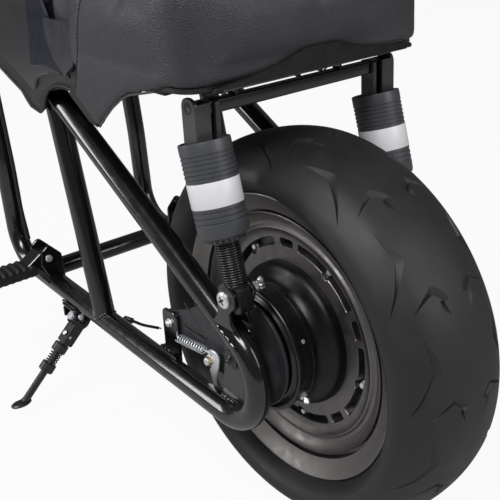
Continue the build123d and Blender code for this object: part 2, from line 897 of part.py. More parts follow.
with BuildPart() as battery:
    with BuildSketch(side_plane(0)):
        with BuildLine():
            Polyline(
                (battery_rear_x, upper_tube_z(battery_rear_x) - battery_drop),
                (battery_front_x, upper_tube_z(battery_front_x) - battery_drop),
                (battery_front_x, upper_tube_z(battery_rear_x) + battery_front_height),
                (battery_rear_x, upper_tube_z(battery_rear_x) + battery_rear_height),
                close=True,
            )
        make_face()
    extrude(amount=side_y - tube_radius - fit_gap, both=True)
save(battery, "battery_block")

# Wiring: a thin loom tied along the back of the left front tube
loom_path = []
for loom_x, loom_z in loom_points:
    loom_path.append(at(loom_x, loom_y, loom_z))
save(bent_tube(loom_path, loom_bend_radii, loom_radius), "wiring_loom")

# Foot pegs: each folds up about a pin between two ears that stand on the lower tube
peg_half_gap = peg_tongue_width / 2 + hinge_gap
for side, sign in (("left", 1), ("right", -1)):
    pin_y = sign * peg_hinge_y
    with BuildPart() as peg_bracket:
        for ear in (-1, 1):
            ear_x = peg_hinge_x + ear * (peg_half_gap + ear_thickness / 2)
            ear_plane = Plane(origin=at(ear_x, 0, 0), x_dir=(0, 1, 0), z_dir=(1, 0, 0))
            with BuildSketch(ear_plane):
                with Locations((pin_y, peg_hinge_z)):
                    Circle(peg_tongue_radius + peg_ear_margin)
                with Locations((sign * side_y, lower_tube_z(peg_hinge_x))):
                    Circle(peg_tongue_radius)
                make_hull()
            extrude(amount=ear_thickness / 2, both=True)
        pin_plane = Plane(origin=at(peg_hinge_x, 0, 0), x_dir=(0, 1, 0), z_dir=(1, 0, 0))
        with BuildSketch(pin_plane):
            with Locations((pin_y, peg_hinge_z)):
                Circle(peg_pin_radius)
        extrude(amount=peg_half_gap + ear_thickness, both=True)
        rear_x = peg_hinge_x - peg_half_gap - ear_thickness
        with BuildSketch(Plane(origin=at(rear_x, 0, 0), x_dir=(0, 1, 0), z_dir=(1, 0, 0))):
            with Locations((pin_y, peg_hinge_z)):
                Circle(peg_pin_head_radius)
        extrude(amount=-bolt_head_height)
    cut_by(peg_bracket, loop_cutters[side])
    save(peg_bracket, f"{side}_peg_bracket")

    with BuildPart() as peg:
        with BuildSketch(pin_plane):
            with Locations((pin_y, peg_hinge_z)):
                Circle(peg_tongue_radius)
            with Locations((pin_y + sign * peg_pad_start / 2, peg_hinge_z)):
                Rectangle(peg_pad_start, peg_tongue_radius * 2)
        extrude(amount=peg_tongue_width / 2, both=True)
        pad_start_y = pin_y + sign * peg_pad_start
        with BuildSketch(Plane(origin=at(0, pad_start_y, 0), x_dir=(1, 0, 0), z_dir=(0, -1, 0))):
            with Locations((peg_hinge_x, peg_hinge_z - peg_pad_drop)):
                RectangleRounded(peg_pad_width, peg_pad_height, peg_pad_corner)
        extrude(amount=-sign * peg_pad_length)
        with BuildSketch(pin_plane):
            with Locations((pin_y, peg_hinge_z)):
                Circle(peg_pin_radius + running_gap)
        extrude(amount=peg_tongue_width, both=True, mode=Mode.SUBTRACT)
    save(peg, f"{side}_foot_peg")

# Side stand: swings on a pin whose axis leans outward, in the plane that holds the leg
stand_axis = Vector(0, cos(radians(stand_axis_lift)), sin(radians(stand_axis_lift)))
stand_origin = at(*stand_pivot)


def stand_plane(offset):
    """The plane the stand swings in, its x forward and its y outward and down."""
    return Plane(origin=stand_origin + stand_axis * offset, x_dir=(1, 0, 0), z_dir=stand_axis)


leg_tip = Vector(*stand_leg_end)
leg_angle = degrees(atan(leg_tip.X / leg_tip.Y))
leg_down = stand_plane(0).from_local_coords(leg_tip) - stand_origin
leg_direction = leg_down.normalized()

with BuildPart() as stand_bracket:
    for ear in (-1, 1):
        inner_face = ear * (stand_fork_thickness / 2 + hinge_gap)
        with BuildSketch(stand_plane(inner_face)):
            Circle(stand_fork_width / 2)
            with Locations((0, -stand_ear_reach)):
                Circle(stand_fork_width / 2)
            make_hull()
        extrude(amount=ear * ear_thickness)
    with BuildSketch(stand_plane(0)):
        Circle(stand_pin_radius)
    extrude(amount=stand_fork_thickness / 2 + hinge_gap + ear_thickness + bolt_head_height / 2, both=True)
cut_by(stand_bracket, loop_cutters["left"])
save(stand_bracket, "stand_bracket")


def leg_disc(reach, radius):
    with BuildSketch(Plane(origin=stand_origin + leg_direction * reach, z_dir=leg_direction)) as disc:
        Circle(radius)
    return disc.sketch


with BuildPart() as side_stand:
    with BuildSketch(stand_plane(0)):
        with Locations(Rotation(0, 0, -leg_angle)):
            with Locations((0, stand_fork_length / 2)):
                Rectangle(stand_fork_width, stand_fork_length)
        Circle(stand_fork_width / 2)
    extrude(amount=stand_fork_thickness / 2, both=True)
    extrude(
        leg_disc(stand_fork_length - stand_leg_root, stand_leg_radius),
        amount=leg_tip.length - stand_fork_length,
    )
    extrude(leg_disc(upper_collar_reach, collar_radius), amount=collar_length)
    extrude(leg_disc(lower_collar_reach, collar_radius), amount=collar_length)
    with BuildSketch(Plane(origin=stand_origin + leg_down)):
        with Locations((0, stand_foot_lead)):
            Ellipse(stand_foot_width / 2, stand_foot_length / 2)
    extrude(amount=-stand_foot_height)
    with BuildSketch(stand_plane(0)):
        Circle(stand_pin_radius + running_gap)
    extrude(amount=stand_fork_thickness, both=True, mode=Mode.SUBTRACT)
save(side_stand, "side_stand")

with BuildPart() as stand_spring:
    spring_start_reach = upper_collar_reach + collar_length + weld_gap
    spring_end_reach = lower_collar_reach - weld_gap
    extrude(
        leg_disc(spring_start_reach, stand_spring_radius),
        amount=spring_end_reach - spring_start_reach,
    )
    extrude(
        leg_disc(spring_start_reach, stand_leg_radius + fit_gap),
        amount=spring_end_reach - spring_start_reach,
        mode=Mode.SUBTRACT,
    )
save(stand_spring, "side_stand_spring")
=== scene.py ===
import json
import math

import bmesh
import bpy
from mathutils import Matrix, Vector
from mathutils.bvhtree import BVHTree
from mathutils.geometry import delaunay_2d_cdt

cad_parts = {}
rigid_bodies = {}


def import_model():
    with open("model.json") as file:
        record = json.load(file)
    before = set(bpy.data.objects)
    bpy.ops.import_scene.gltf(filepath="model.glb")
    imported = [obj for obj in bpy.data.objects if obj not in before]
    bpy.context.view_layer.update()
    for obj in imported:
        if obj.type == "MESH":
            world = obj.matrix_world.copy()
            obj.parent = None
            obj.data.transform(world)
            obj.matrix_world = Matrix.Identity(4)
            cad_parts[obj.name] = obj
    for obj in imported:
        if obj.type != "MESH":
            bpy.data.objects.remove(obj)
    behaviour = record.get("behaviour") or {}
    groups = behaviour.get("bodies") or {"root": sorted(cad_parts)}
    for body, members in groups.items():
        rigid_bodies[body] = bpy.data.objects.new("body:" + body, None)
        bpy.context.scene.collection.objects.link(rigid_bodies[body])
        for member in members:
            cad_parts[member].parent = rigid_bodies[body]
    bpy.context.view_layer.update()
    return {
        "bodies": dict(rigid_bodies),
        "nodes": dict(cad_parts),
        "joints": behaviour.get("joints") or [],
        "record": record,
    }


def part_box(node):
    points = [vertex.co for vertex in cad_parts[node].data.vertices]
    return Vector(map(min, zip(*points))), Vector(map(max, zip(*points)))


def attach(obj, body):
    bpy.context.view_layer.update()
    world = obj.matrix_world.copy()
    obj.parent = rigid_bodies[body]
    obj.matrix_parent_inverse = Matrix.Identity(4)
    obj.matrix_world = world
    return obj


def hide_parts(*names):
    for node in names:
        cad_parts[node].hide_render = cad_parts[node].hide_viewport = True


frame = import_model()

nodes = frame["nodes"]

# The wheel gives the ground and the axle, and every place below is counted from them in
# millimetres: x forward, y to the left, z up from the ground under the axle.
tyreLow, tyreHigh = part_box("rear_tyre")
groundZ = tyreLow[2]
axleX = (tyreLow[0] + tyreHigh[0]) / 2
axleHeight = (tyreHigh[2] - tyreLow[2]) / 2 * 1000


def spot(x, y, z):
    return Vector((axleX + x / 1000, y / 1000, groundZ + z / 1000))


def toPlan(point):
    return Vector(((point.x - axleX) * 1000, point.y * 1000, (point.z - groundZ) * 1000))


# A place on the wheel: degrees up from the rear, distance from the axle, and y
def onWheel(angle, radius, y):
    turn = math.radians(angle)
    return Vector((-radius * math.cos(turn), y, axleHeight + radius * math.sin(turn)))


def wheelRing(radius, y, count, start):
    return [onWheel(start + 360 * step / count, radius, y) for step in range(count)]


# Places that turn a unit round the axle, the first one unturned
def roundWheel(count):
    axle = onWheel(0, 0, 0)
    return [(axle, onWheel(90 + 360 * number / count, 1.0, 0) - axle, Vector((0, 1, 0)), 1.0)
            for number in range(count)]


# Centre lines of the frame's two straight tubes, which start from one place behind the axle
frameTubes = {"startX": -221.0, "startZ": 153.0, "lowerSlope": 0.03362, "upperSlope": 0.57568, "y": 124.0}


def lowerTubeZ(x):
    return frameTubes["startZ"] + (x - frameTubes["startX"]) * frameTubes["lowerSlope"]


def upperTubeZ(x):
    return frameTubes["startZ"] + (x - frameTubes["startX"]) * frameTubes["upperSlope"]


# Shader nodes as expressions
class Wire:
    def __init__(self, finish, socket):
        self.finish = finish
        self.socket = socket

    def calc(self, operation, first, second):
        return self.finish.add("ShaderNodeMath", {"operation": operation}, [first, second])

    def __add__(self, other): return self.calc("ADD", self, other)
    def __radd__(self, other): return self.calc("ADD", other, self)
    def __mul__(self, other): return self.calc("MULTIPLY", self, other)
    def __rmul__(self, other): return self.calc("MULTIPLY", other, self)


class Finish:
    def __init__(self, name, color, roughness, metallic=0.0, **fixed):
        self.material = bpy.data.materials.new(name)
        self.material.use_nodes = True
        self.tree = self.material.node_tree
        self.shader = self.tree.nodes["Principled BSDF"]
        self.set("Base Color", (*color, 1.0))
        self.set("Roughness", roughness)
        self.set("Metallic", metallic)
        for socketName, value in fixed.items():
            self.set(socketName.replace("_", " "), value)
        self.place = self.add("ShaderNodeTexCoord", output="Object")

    def set(self, socketName, value):
        if isinstance(value, Wire):
            self.tree.links.new(value.socket, self.shader.inputs[socketName])
        else:
            self.shader.inputs[socketName].default_value = value

    def add(self, kind, settings=None, values=(), output=0):
        node = self.tree.nodes.new(kind)
        for key, value in (settings or {}).items():
            setattr(node, key, value)
        pairs = values.items() if isinstance(values, dict) else enumerate(values)
        for key, value in pairs:
            if isinstance(value, Wire):
                self.tree.links.new(value.socket, node.inputs[key])
            else:
                node.inputs[key].default_value = value
        return Wire(self, node.outputs[output])

    def noise(self, scale, detail=3.0, roughness=0.5):
        values = {"Vector": self.place, "Scale": scale, "Detail": detail, "Roughness": roughness}
        return self.add("ShaderNodeTexNoise", {}, values, "Fac")

    def spread(self, value, low, high, newLow, newHigh):
        return self.add("ShaderNodeMapRange", {"clamp": True}, [value, low, high, newLow, newHigh])

    def tint(self, factor, first, second):
        values = {"Factor": factor, 6: (*first, 1.0), 7: (*second, 1.0)}
        return self.add("ShaderNodeMix", {"data_type": "RGBA"}, values, 2)

    # Part of what the camera sees of this surface is plain white
    def glow(self, share):
        cameraRay = self.add("ShaderNodeLightPath", output="Is Camera Ray")
        white = self.tree.nodes.new("ShaderNodeEmission")
        mix = self.tree.nodes.new("ShaderNodeMixShader")
        self.tree.links.new((cameraRay * share).socket, mix.inputs[0])
        self.tree.links.new(self.shader.outputs[0], mix.inputs[1])
        self.tree.links.new(white.outputs[0], mix.inputs[2])
        self.tree.links.new(mix.outputs[0], self.tree.nodes["Material Output"].inputs["Surface"])

    def bump(self, height, distance, strength=1.0):
        values = {"Strength": strength, "Distance": distance, "Height": height}
        self.set("Normal", self.add("ShaderNodeBump", {}, values, "Normal"))


def makePaint(name, color, roughness, peel=0.00004, coat=0.5, shine=0.5):
    finish = Finish(name, color, roughness, Coat_Weight=coat, Coat_Roughness=0.06, Specular_IOR_Level=shine)
    cloud = finish.noise(60.0)
    finish.set("Roughness", finish.spread(cloud, 0.35, 0.65, roughness * 0.85, roughness * 1.2))
    finish.bump(finish.noise(420.0, 2.0), peel)
    return finish.material


def makeMetal(name, color, roughness, spread=0.3, grain=0.00002, scale=900.0, metallic=1.0):
    finish = Finish(name, color, roughness, metallic)
    cloud = finish.noise(90.0, 4.0)
    dark = tuple(channel * (1 - spread) for channel in color)
    finish.set("Base Color", finish.tint(finish.spread(cloud, 0.3, 0.7, 0.0, 1.0), dark, color))
    finish.set("Roughness", finish.spread(cloud, 0.3, 0.7, roughness * 1.25, roughness * 0.85))
    finish.bump(finish.noise(scale, 2.0), grain)
    return finish.material


def makePlastic(name, color, roughness, grain=0.00005, scale=1400.0, variation=0.15):
    finish = Finish(name, color, roughness)
    cloud = finish.noise(35.0, 4.0)
    dark = tuple(channel * (1 - variation) for channel in color)
    finish.set("Base Color", finish.tint(finish.spread(cloud, 0.3, 0.7, 0.0, 1.0), dark, color))
    finish.bump(finish.noise(scale, 2.0), grain)
    return finish.material


def makeTyre():
    finish = Finish("tyreRubber", (0.012, 0.0125, 0.014), 0.5)
    dust = finish.noise(22.0, 5.0, 0.6)
    share = finish.spread(dust, 0.35, 0.7, 0.0, 1.0)
    finish.set("Base Color", finish.tint(share, (0.0095, 0.0098, 0.011), (0.014, 0.0145, 0.016)))
    finish.set("Roughness", finish.spread(dust, 0.3, 0.7, 0.48, 0.62))
    finish.bump(finish.noise(1600.0, 2.0) + finish.noise(300.0, 2.0) * 0.5, 0.00006)
    return finish.material


def makeLeather():
    finish = Finish("seatLeather", (0.03, 0.031, 0.036), 0.42)
    values = {"Vector": finish.place, "Scale": 420.0, "Randomness": 1.0}
    cells = finish.add("ShaderNodeTexVoronoi", {"feature": "DISTANCE_TO_EDGE"}, values, "Distance")
    pebble = finish.spread(cells, 0.0, 0.22, 0.0, 1.0)
    cloud = finish.noise(14.0, 4.0)
    share = finish.spread(cloud, 0.3, 0.7, 0.0, 1.0)
    finish.set("Base Color", finish.tint(share, (0.022, 0.023, 0.027), (0.036, 0.037, 0.043)))
    finish.set("Roughness", finish.spread(pebble, 0.0, 1.0, 0.55, 0.36))
    finish.bump(pebble + finish.noise(1500.0, 2.0) * 0.3, 0.00018)
    return finish.material


paint = {
    "frame": makePaint("frameGlossBlack", (0.004, 0.004, 0.0045), 0.2),
    "motor": makePaint("motorBlack", (0.003, 0.003, 0.0035), 0.3, coat=0.1),
    "satinBlack": makePaint("motorSatinBlack", (0.002, 0.002, 0.0026), 0.36, coat=0.0, shine=0.3),
    "springBlack": makePaint("springBlack", (0.012, 0.012, 0.013), 0.26, coat=0.5),
    "satin": makePaint("satinGreyPaint", (0.03, 0.03, 0.032), 0.38, coat=0.3),
    "anchor": makePaint("anchorGrey", (0.02, 0.021, 0.024), 0.45, coat=0.1),
    # The carrier is black like the frame; this lighter grey stands in for the light its faces reflect:
    # painted sheen
    "carrier": makePaint("carrierGreyPaintedSheen", (0.04, 0.04, 0.042), 0.4, coat=0.2),
    "stand": makePaint("standBlack", (0.018, 0.018, 0.019), 0.4, coat=0.1),
    "rim": makeMetal("rimWarmGrey", (0.205, 0.193, 0.19), 0.42, 0.06, 0.00001, 500.0),
    "zinc": makeMetal("brightZinc", (0.86, 0.88, 0.92), 0.34, 0.12, metallic=0.8),
    "brass": makeMetal("yellowZinc", (0.62, 0.5, 0.3), 0.3),
    "tyre": makeTyre(),
    "leather": makeLeather(),
    "thread": makePlastic("seatThread", (0.006, 0.006, 0.007), 0.5),
    "hem": makePlastic("seatHem", (0.05, 0.052, 0.058), 0.35),
    # The cover's rear flank, where it curves in, is given a darker, bluer tone than the cover's gloss:
    # painted shade and painted reflection
    "flank": makePaint("flankPaintedShadeAndReflection", (0.006, 0.0075, 0.016), 0.3, coat=0.05, shine=0.35),
    "panel": makePaint("panelGrey", (0.022, 0.0235, 0.03), 0.28, coat=0.4),
    "shroud": makePlastic("shroudGrey", (0.055, 0.057, 0.064), 0.42),
    "label": makePlastic("blankBand", (0.72, 0.72, 0.75), 0.35, variation=0.04),
    "plastic": makePlastic("blackPlastic", (0.012, 0.012, 0.013), 0.4),
    "gloss": makePaint("coverGloss", (0.022, 0.022, 0.025), 0.2),
    "rubber": makePlastic("pegRubber", (0.009, 0.009, 0.01), 0.55, 0.0001),
}

slotPaint = {
    "frame_paint": "frame", "satin_steel": "satin", "tyre": "tyre", "rim_grey": "rim",
    "motor_black": "motor", "zinc": "zinc", "shroud_grey": "shroud", "spring_black": "motor",
    "seat_leather": "leather", "black_plastic": "plastic", "cover_gloss": "gloss",
    "peg_rubber": "rubber", "stand_black": "stand",
}
for entry in frame["record"]["subparts"]:
    mesh = nodes[entry["node"]].data
    mesh.materials.clear()
    mesh.materials.append(paint[slotPaint[entry["material_slot"]]])
for nodeName in ("rear_axle", "axle_caps"):
    nodes[nodeName].data.materials[0] = paint["motor"]
print("materials ready")


# Camera, lamps, floor and backdrop
cameraView = {
    "place": (-678.6, 608.0, 745.5), "yaw": -0.625, "pitch": 0.374, "roll": 0.068,
    "lens": 61.3, "shiftX": 0.0486, "shiftY": -0.0786,
}


def makeCamera(view):
    yaw, pitch, roll = view["yaw"], view["pitch"], view["roll"]
    forward = Vector((math.cos(yaw) * math.cos(pitch), math.sin(yaw) * math.cos(pitch), -math.sin(pitch)))
    right = Vector((math.sin(yaw), -math.cos(yaw), 0.0))
    down = forward.cross(right)
    tiltedRight = right * math.cos(roll) + down * math.sin(roll)
    up = right * math.sin(roll) - down * math.cos(roll)
    cameraData = bpy.data.cameras.new("camera")
    cameraData.lens = view["lens"]
    cameraData.shift_x = view["shiftX"]
    cameraData.shift_y = view["shiftY"]
    cameraData.clip_end = 50.0
    camera = bpy.data.objects.new("camera", cameraData)
    turn = Matrix((tiltedRight, up, -forward)).transposed().to_4x4()
    camera.matrix_world = Matrix.Translation(spot(*view["place"])) @ turn
    bpy.context.scene.collection.objects.link(camera)
    bpy.context.scene.camera = camera


def makeLamp(name, place, target, size, power):
    lampData = bpy.data.lights.new(name, "AREA")
    lampData.shape = "RECTANGLE"
    lampData.size = size[0]
    lampData.size_y = size[1]
    lampData.energy = power
    lamp = bpy.data.objects.new(name, lampData)
    lamp.location = place
    lamp.rotation_euler = (Vector(target) - Vector(place)).to_track_quat("-Z", "Y").to_euler()
    bpy.context.scene.collection.objects.link(lamp)


makeCamera(cameraView)
middle = spot(250, 0, 350)
makeLamp("keyLamp", middle + Vector((-1.0, 1.6, 2.2)), middle, (1.5, 0.9), 60.0)
makeLamp("fillLamp", middle + Vector((-2.2, -0.8, 1.2)), middle, (0.9, 1.4), 22.0)
makeLamp("sideLamp", middle + Vector((1.6, 2.0, 1.0)), middle, (0.5, 1.8), 26.0)

world = bpy.data.worlds.new("studio")
world.use_nodes = True
bpy.context.scene.world = world
worldTree = world.node_tree
background = worldTree.nodes["Background"]
lightPath = worldTree.nodes.new("ShaderNodeLightPath")
mixStrength = worldTree.nodes.new("ShaderNodeMapRange")
mixStrength.inputs["To Min"].default_value = 0.14
mixStrength.inputs["To Max"].default_value = 1.0
worldTree.links.new(lightPath.outputs["Is Camera Ray"], mixStrength.inputs["Value"])
worldTree.links.new(mixStrength.outputs["Result"], background.inputs["Strength"])
background.inputs["Color"].default_value = (1.0, 1.0, 1.0, 1.0)


def makeFloor():
    floorMesh = bpy.data.meshes.new("floor")
    half = 6.0
    corners = [(-half, -half), (half, -half), (half, half), (-half, half)]
    floorMesh.from_pydata([(x, y, groundZ) for x, y in corners], [], [(0, 1, 2, 3)])
    floor = bpy.data.objects.new("floor", floorMesh)
    bpy.context.scene.collection.objects.link(floor)
    finish = Finish("floorWhite", (0.55, 0.55, 0.55), 0.9)
    finish.glow(0.94)
    floorMesh.materials.append(finish.material)


makeFloor()
bpy.context.scene.view_settings.view_transform = "Standard"
print("camera and studio ready")


def applyModifiers(piece):
    evaluated = piece.evaluated_get(bpy.context.evaluated_depsgraph_get())
    fresh = bpy.data.meshes.new_from_object(evaluated)
    piece.modifiers.clear()
    previous = piece.data
    piece.data = fresh
    bpy.data.meshes.remove(previous)


# Geometry Nodes for what repeats: a unit on every point, turned and stretched as the point says
def makeRepeatTree():
    tree = bpy.data.node_groups.new("repeatUnit", "GeometryNodeTree")
    inputKinds = {"Places": "NodeSocketGeometry", "Unit": "NodeSocketObject", "Size": "NodeSocketFloat",
                  "Material": "NodeSocketMaterial"}
    sockets = {name: tree.interface.new_socket(name, in_out="INPUT", socket_type=kind).identifier
               for name, kind in inputKinds.items()}
    tree.interface.new_socket("Mesh", in_out="OUTPUT", socket_type="NodeSocketGeometry")
    given, result = tree.nodes.new("NodeGroupInput"), tree.nodes.new("NodeGroupOutput")
    unit = tree.nodes.new("GeometryNodeObjectInfo")
    copies = tree.nodes.new("GeometryNodeInstanceOnPoints")
    sized = tree.nodes.new("ShaderNodeVectorMath")
    sized.operation = "SCALE"
    real = tree.nodes.new("GeometryNodeRealizeInstances")
    coated = tree.nodes.new("GeometryNodeSetMaterial")
    marks = {}
    for name in ("turn", "stretch"):
        marks[name] = tree.nodes.new("GeometryNodeInputNamedAttribute")
        marks[name].data_type = "FLOAT_VECTOR"
        marks[name].inputs["Name"].default_value = name
    for start, end in (
        (given.outputs["Places"], copies.inputs["Points"]), (given.outputs["Unit"], unit.inputs["Object"]),
        (unit.outputs["Geometry"], copies.inputs["Instance"]),
        (marks["turn"].outputs["Attribute"], copies.inputs["Rotation"]),
        (marks["stretch"].outputs["Attribute"], sized.inputs[0]),
        (given.outputs["Size"], sized.inputs["Scale"]),
        (sized.outputs["Vector"], copies.inputs["Scale"]),
        (copies.outputs["Instances"], real.inputs["Geometry"]),
        (real.outputs["Geometry"], coated.inputs["Geometry"]),
        (given.outputs["Material"], coated.inputs["Material"]),
        (coated.outputs["Geometry"], result.inputs["Mesh"]),
    ):
        tree.links.new(start, end)
    return tree, sockets


repeatTree, repeatSockets = makeRepeatTree()


# Shapes collect points and faces, in vehicle millimetres, and become one closed mesh
class Shape:
    def __init__(self):
        self.points = []
        self.faces = []
        self.finishes = []

    def add(self, points, faces, finish=0):
        start = len(self.points)
        self.points.extend(Vector(point) for point in points)
        self.faces.extend(tuple(start + index for index in face) for face in faces)
        self.finishes.extend([finish] * len(faces))

    def grid(self, rows, finish=0, closeRows=False, closeColumns=False):
        columns = len(rows[0])
        rowCount = len(rows)
        faces = []
        for row in range(rowCount if closeRows else rowCount - 1):
            following = (row + 1) % rowCount
            for column in range(columns if closeColumns else columns - 1):
                aside = (column + 1) % columns
                faces.append((
                    row * columns + column, row * columns + aside,
                    following * columns + aside, following * columns + column,
                ))
        self.add([point for row in rows for point in row], faces, finish)

    def makeMesh(self, name, place, finishes, sharp, weld=0.005):
        mesh = bpy.data.meshes.new(name)
        mesh.from_pydata([place(point) for point in self.points], [], self.faces)
        for finish in finishes:
            mesh.materials.append(paint[finish])
        mesh.polygons.foreach_set("material_index", self.finishes)
        work = bmesh.new()
        work.from_mesh(mesh)
        bmesh.ops.remove_doubles(work, verts=work.verts, dist=weld / 1000)
        bmesh.ops.dissolve_degenerate(work, edges=work.edges, dist=1e-7)
        bmesh.ops.recalc_face_normals(work, faces=work.faces)
        work.to_mesh(mesh)
        work.free()
        mesh.shade_smooth()
        mesh.set_sharp_from_angle(angle=math.radians(sharp))
        return mesh

    def finishPiece(self, name, body, finishes, replaced=(), slotName=None, sharp=35.0, weld=0.005):
        mesh = self.makeMesh(name, lambda point: spot(*point), finishes, sharp, weld)
        piece = bpy.data.objects.new(name, mesh)
        bpy.context.scene.collection.objects.link(piece)
        if replaced:
            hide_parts(*replaced)
        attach(piece, body)
        return piece

    # Copies of this shape, drawn about its own middle with z outward. A place is a point, the
    # way its z faces, the way its y faces, and how far it is stretched along z.
    def copies(self, name, finish, places, sharp=35.0, size=1.0):
        unitMesh = self.makeMesh(name + "Unit", lambda point: point / 1000, [finish], sharp)
        unit = bpy.data.objects.new(name + "Unit", unitMesh)
        turns, stretches = [], []
        for _, outward, across, stretch in places:
            turn = Matrix((across.cross(outward), across, outward)).transposed().to_euler()
            turns.extend(turn)
            stretches.extend((1.0, 1.0, stretch))
        mesh = bpy.data.meshes.new(name)
        mesh.from_pydata([spot(*place[0]) for place in places], [], [])
        for attributeName, values in (("turn", turns), ("stretch", stretches)):
            mesh.attributes.new(attributeName, "FLOAT_VECTOR", "POINT").data.foreach_set("vector", values)
        piece = bpy.data.objects.new(name, mesh)
        bpy.context.scene.collection.objects.link(piece)
        modifier = piece.modifiers.new("repeat", "NODES")
        modifier.node_group = repeatTree
        for socketName, value in (("Unit", unit), ("Size", size), ("Material", paint[finish])):
            modifier[repeatSockets[socketName]] = value
        applyModifiers(piece)
        for attributeName in ("turn", "stretch"):
            if attributeName in piece.data.attributes:
                piece.data.attributes.remove(piece.data.attributes[attributeName])
        bpy.data.objects.remove(unit)
        bpy.data.meshes.remove(unitMesh)
        return piece

    def repeatPiece(self, name, body, finish, places, sharp=35.0):
        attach(self.copies(name, finish, places, sharp), body)

    # Copies of a unit taken in as points and faces, where they are part of a larger mesh
    def takeCopies(self, unit, places, finish=0):
        piece = unit.copies("sector", "tyre", places)
        mesh = piece.data
        self.add([toPlan(vertex.co) for vertex in mesh.vertices],
                 [tuple(polygon.vertices) for polygon in mesh.polygons], finish)
        bpy.data.objects.remove(piece)
        bpy.data.meshes.remove(mesh)


# An axis as a unit vector, and two directions across it
def turned(axis):
    axis = Vector(axis).normalized()
    helper = Vector((0, 0, 1)) if abs(axis.z) < 0.9 else Vector((1, 0, 0))
    first = axis.cross(helper).normalized()
    return axis, first, axis.cross(first).normalized()


def softened(corners, radii, steps=4):
    rounded = []
    count = len(corners)
    for index, corner in enumerate(corners):
        radius = radii[index] if isinstance(radii, (list, tuple)) else radii
        corner = Vector(corner)
        before = Vector(corners[index - 1]) - corner
        after = Vector(corners[(index + 1) % count]) - corner
        if radius <= 0 or before.length < 1e-6 or after.length < 1e-6:
            rounded.append(corner)
            continue
        angle = before.angle(after)
        if angle > math.pi - 0.02:
            rounded.append(corner)
            continue
        reach = min(radius / math.tan(angle / 2), before.length * 0.49, after.length * 0.49)
        start = corner + before.normalized() * reach
        end = corner + after.normalized() * reach
        for step in range(steps + 1):
            share = step / steps
            rounded.append(start * (1 - share) ** 2 + corner * 2 * share * (1 - share) + end * share ** 2)
    return rounded


def lathe(shape, profile, middle, axis=(0, 1, 0), sides=48, finish=0, opened=False):
    axis, first, second = turned(axis)
    middle = Vector(middle)
    rows = []
    for radius, along in profile:
        row = []
        for side in range(sides):
            angle = 2 * math.pi * side / sides
            spoke = first * math.cos(angle) + second * math.sin(angle)
            row.append(middle + axis * along + spoke * radius)
        rows.append(row)
    shape.grid(rows, finish, closeRows=not opened, closeColumns=True)


def inset(outline, amount):
    moved = []
    count = len(outline)
    area = sum(
        outline[index - 1][0] * outline[index][1] - outline[index][0] * outline[index - 1][1]
        for index in range(count)
    )
    sign = 1 if area > 0 else -1
    for index in range(count):
        before = (Vector(outline[index]) - Vector(outline[index - 1]))
        after = (Vector(outline[(index + 1) % count]) - Vector(outline[index]))
        if before.length < 1e-6 or after.length < 1e-6:
            moved.append(Vector(outline[index]))
            continue
        before, after = before.normalized(), after.normalized()
        normal = Vector((-before.y - after.y, before.x + after.x))
        normal = normal.normalized() if normal.length > 1e-6 else Vector((-before.y, before.x))
        cosine = max(0.35, normal.dot(Vector((-before.y, before.x))))
        moved.append(Vector(outline[index]) + normal * sign * amount / cosine)
    return moved


# An outline in the plane of across and up, thickened by depth along their cross product
def slab(shape, outline, origin, across, up, depth, edge=0.8, finish=0):
    origin, across, up = Vector(origin), Vector(across).normalized(), Vector(up).normalized()
    normal = across.cross(up)
    inner = inset(outline, edge) if edge else outline
    levels = [(inner, 0.0), (outline, edge), (outline, depth - edge), (inner, depth)] if edge else [
        (outline, 0.0), (outline, depth)]
    rows = [[origin + across * u + up * v + normal * level for u, v in ring] for ring, level in levels]
    shape.grid(rows, finish, closeColumns=True)
    count = len(outline)
    shape.add(rows[0], [tuple(range(count))], finish)
    shape.add(rows[-1], [tuple(range(count))], finish)


# A plate with its outline in x and z and its outer face at outerY, on either side of the machine
def sidePlate(shape, outline, side, outerY, depth, edge=0.8, finish=0):
    leftFace = outerY if side > 0 else depth - outerY
    slab(shape, outline, (0, leftFace, 0), (1, 0, 0), (0, 0, 1), depth, edge, finish)


# A level plate with its outline in x and y
def levelPlate(shape, outline, origin, depth, edge=0.8, finish=0):
    slab(shape, outline, origin, (1, 0, 0), (0, 1, 0), depth, edge, finish)


def pathFrames(points):
    frames = []
    tangent = (points[1] - points[0]).normalized()
    _, first, second = turned(tangent)
    for index, point in enumerate(points):
        ahead = points[min(index + 1, len(points) - 1)] - points[max(index - 1, 0)]
        turn = tangent.rotation_difference(ahead.normalized())
        first, second = turn @ first, turn @ second
        tangent = ahead.normalized()
        frames.append((point, first, second, tangent))
    return frames


def bent(corners, radii, steps=8):
    path = [Vector(corners[0])]
    for index in range(1, len(corners) - 1):
        corner = Vector(corners[index])
        before = Vector(corners[index - 1]) - corner
        after = Vector(corners[index + 1]) - corner
        angle = before.angle(after)
        radius = radii[index - 1] if isinstance(radii, (list, tuple)) else radii
        reach = min(radius / math.tan(angle / 2), before.length * 0.49, after.length * 0.49)
        radius = reach * math.tan(angle / 2)
        start = corner + before.normalized() * reach
        halfway = (before.normalized() + after.normalized()).normalized()
        middle = corner + halfway * (radius / math.sin(angle / 2))
        sweep = math.pi - angle
        normal = before.cross(after).normalized()
        spoke = start - middle
        for step in range(steps + 1):
            turn = Matrix.Rotation(-sweep * step / steps, 3, normal)
            candidate = middle + turn @ spoke
            path.append(candidate)
        if (path[-1] - (corner + after.normalized() * reach)).length > radius * 0.2 + 0.01:
            del path[-(steps + 1):]
            for step in range(steps + 1):
                turn = Matrix.Rotation(sweep * step / steps, 3, normal)
                path.append(middle + turn @ spoke)
    path.append(Vector(corners[-1]))
    return path


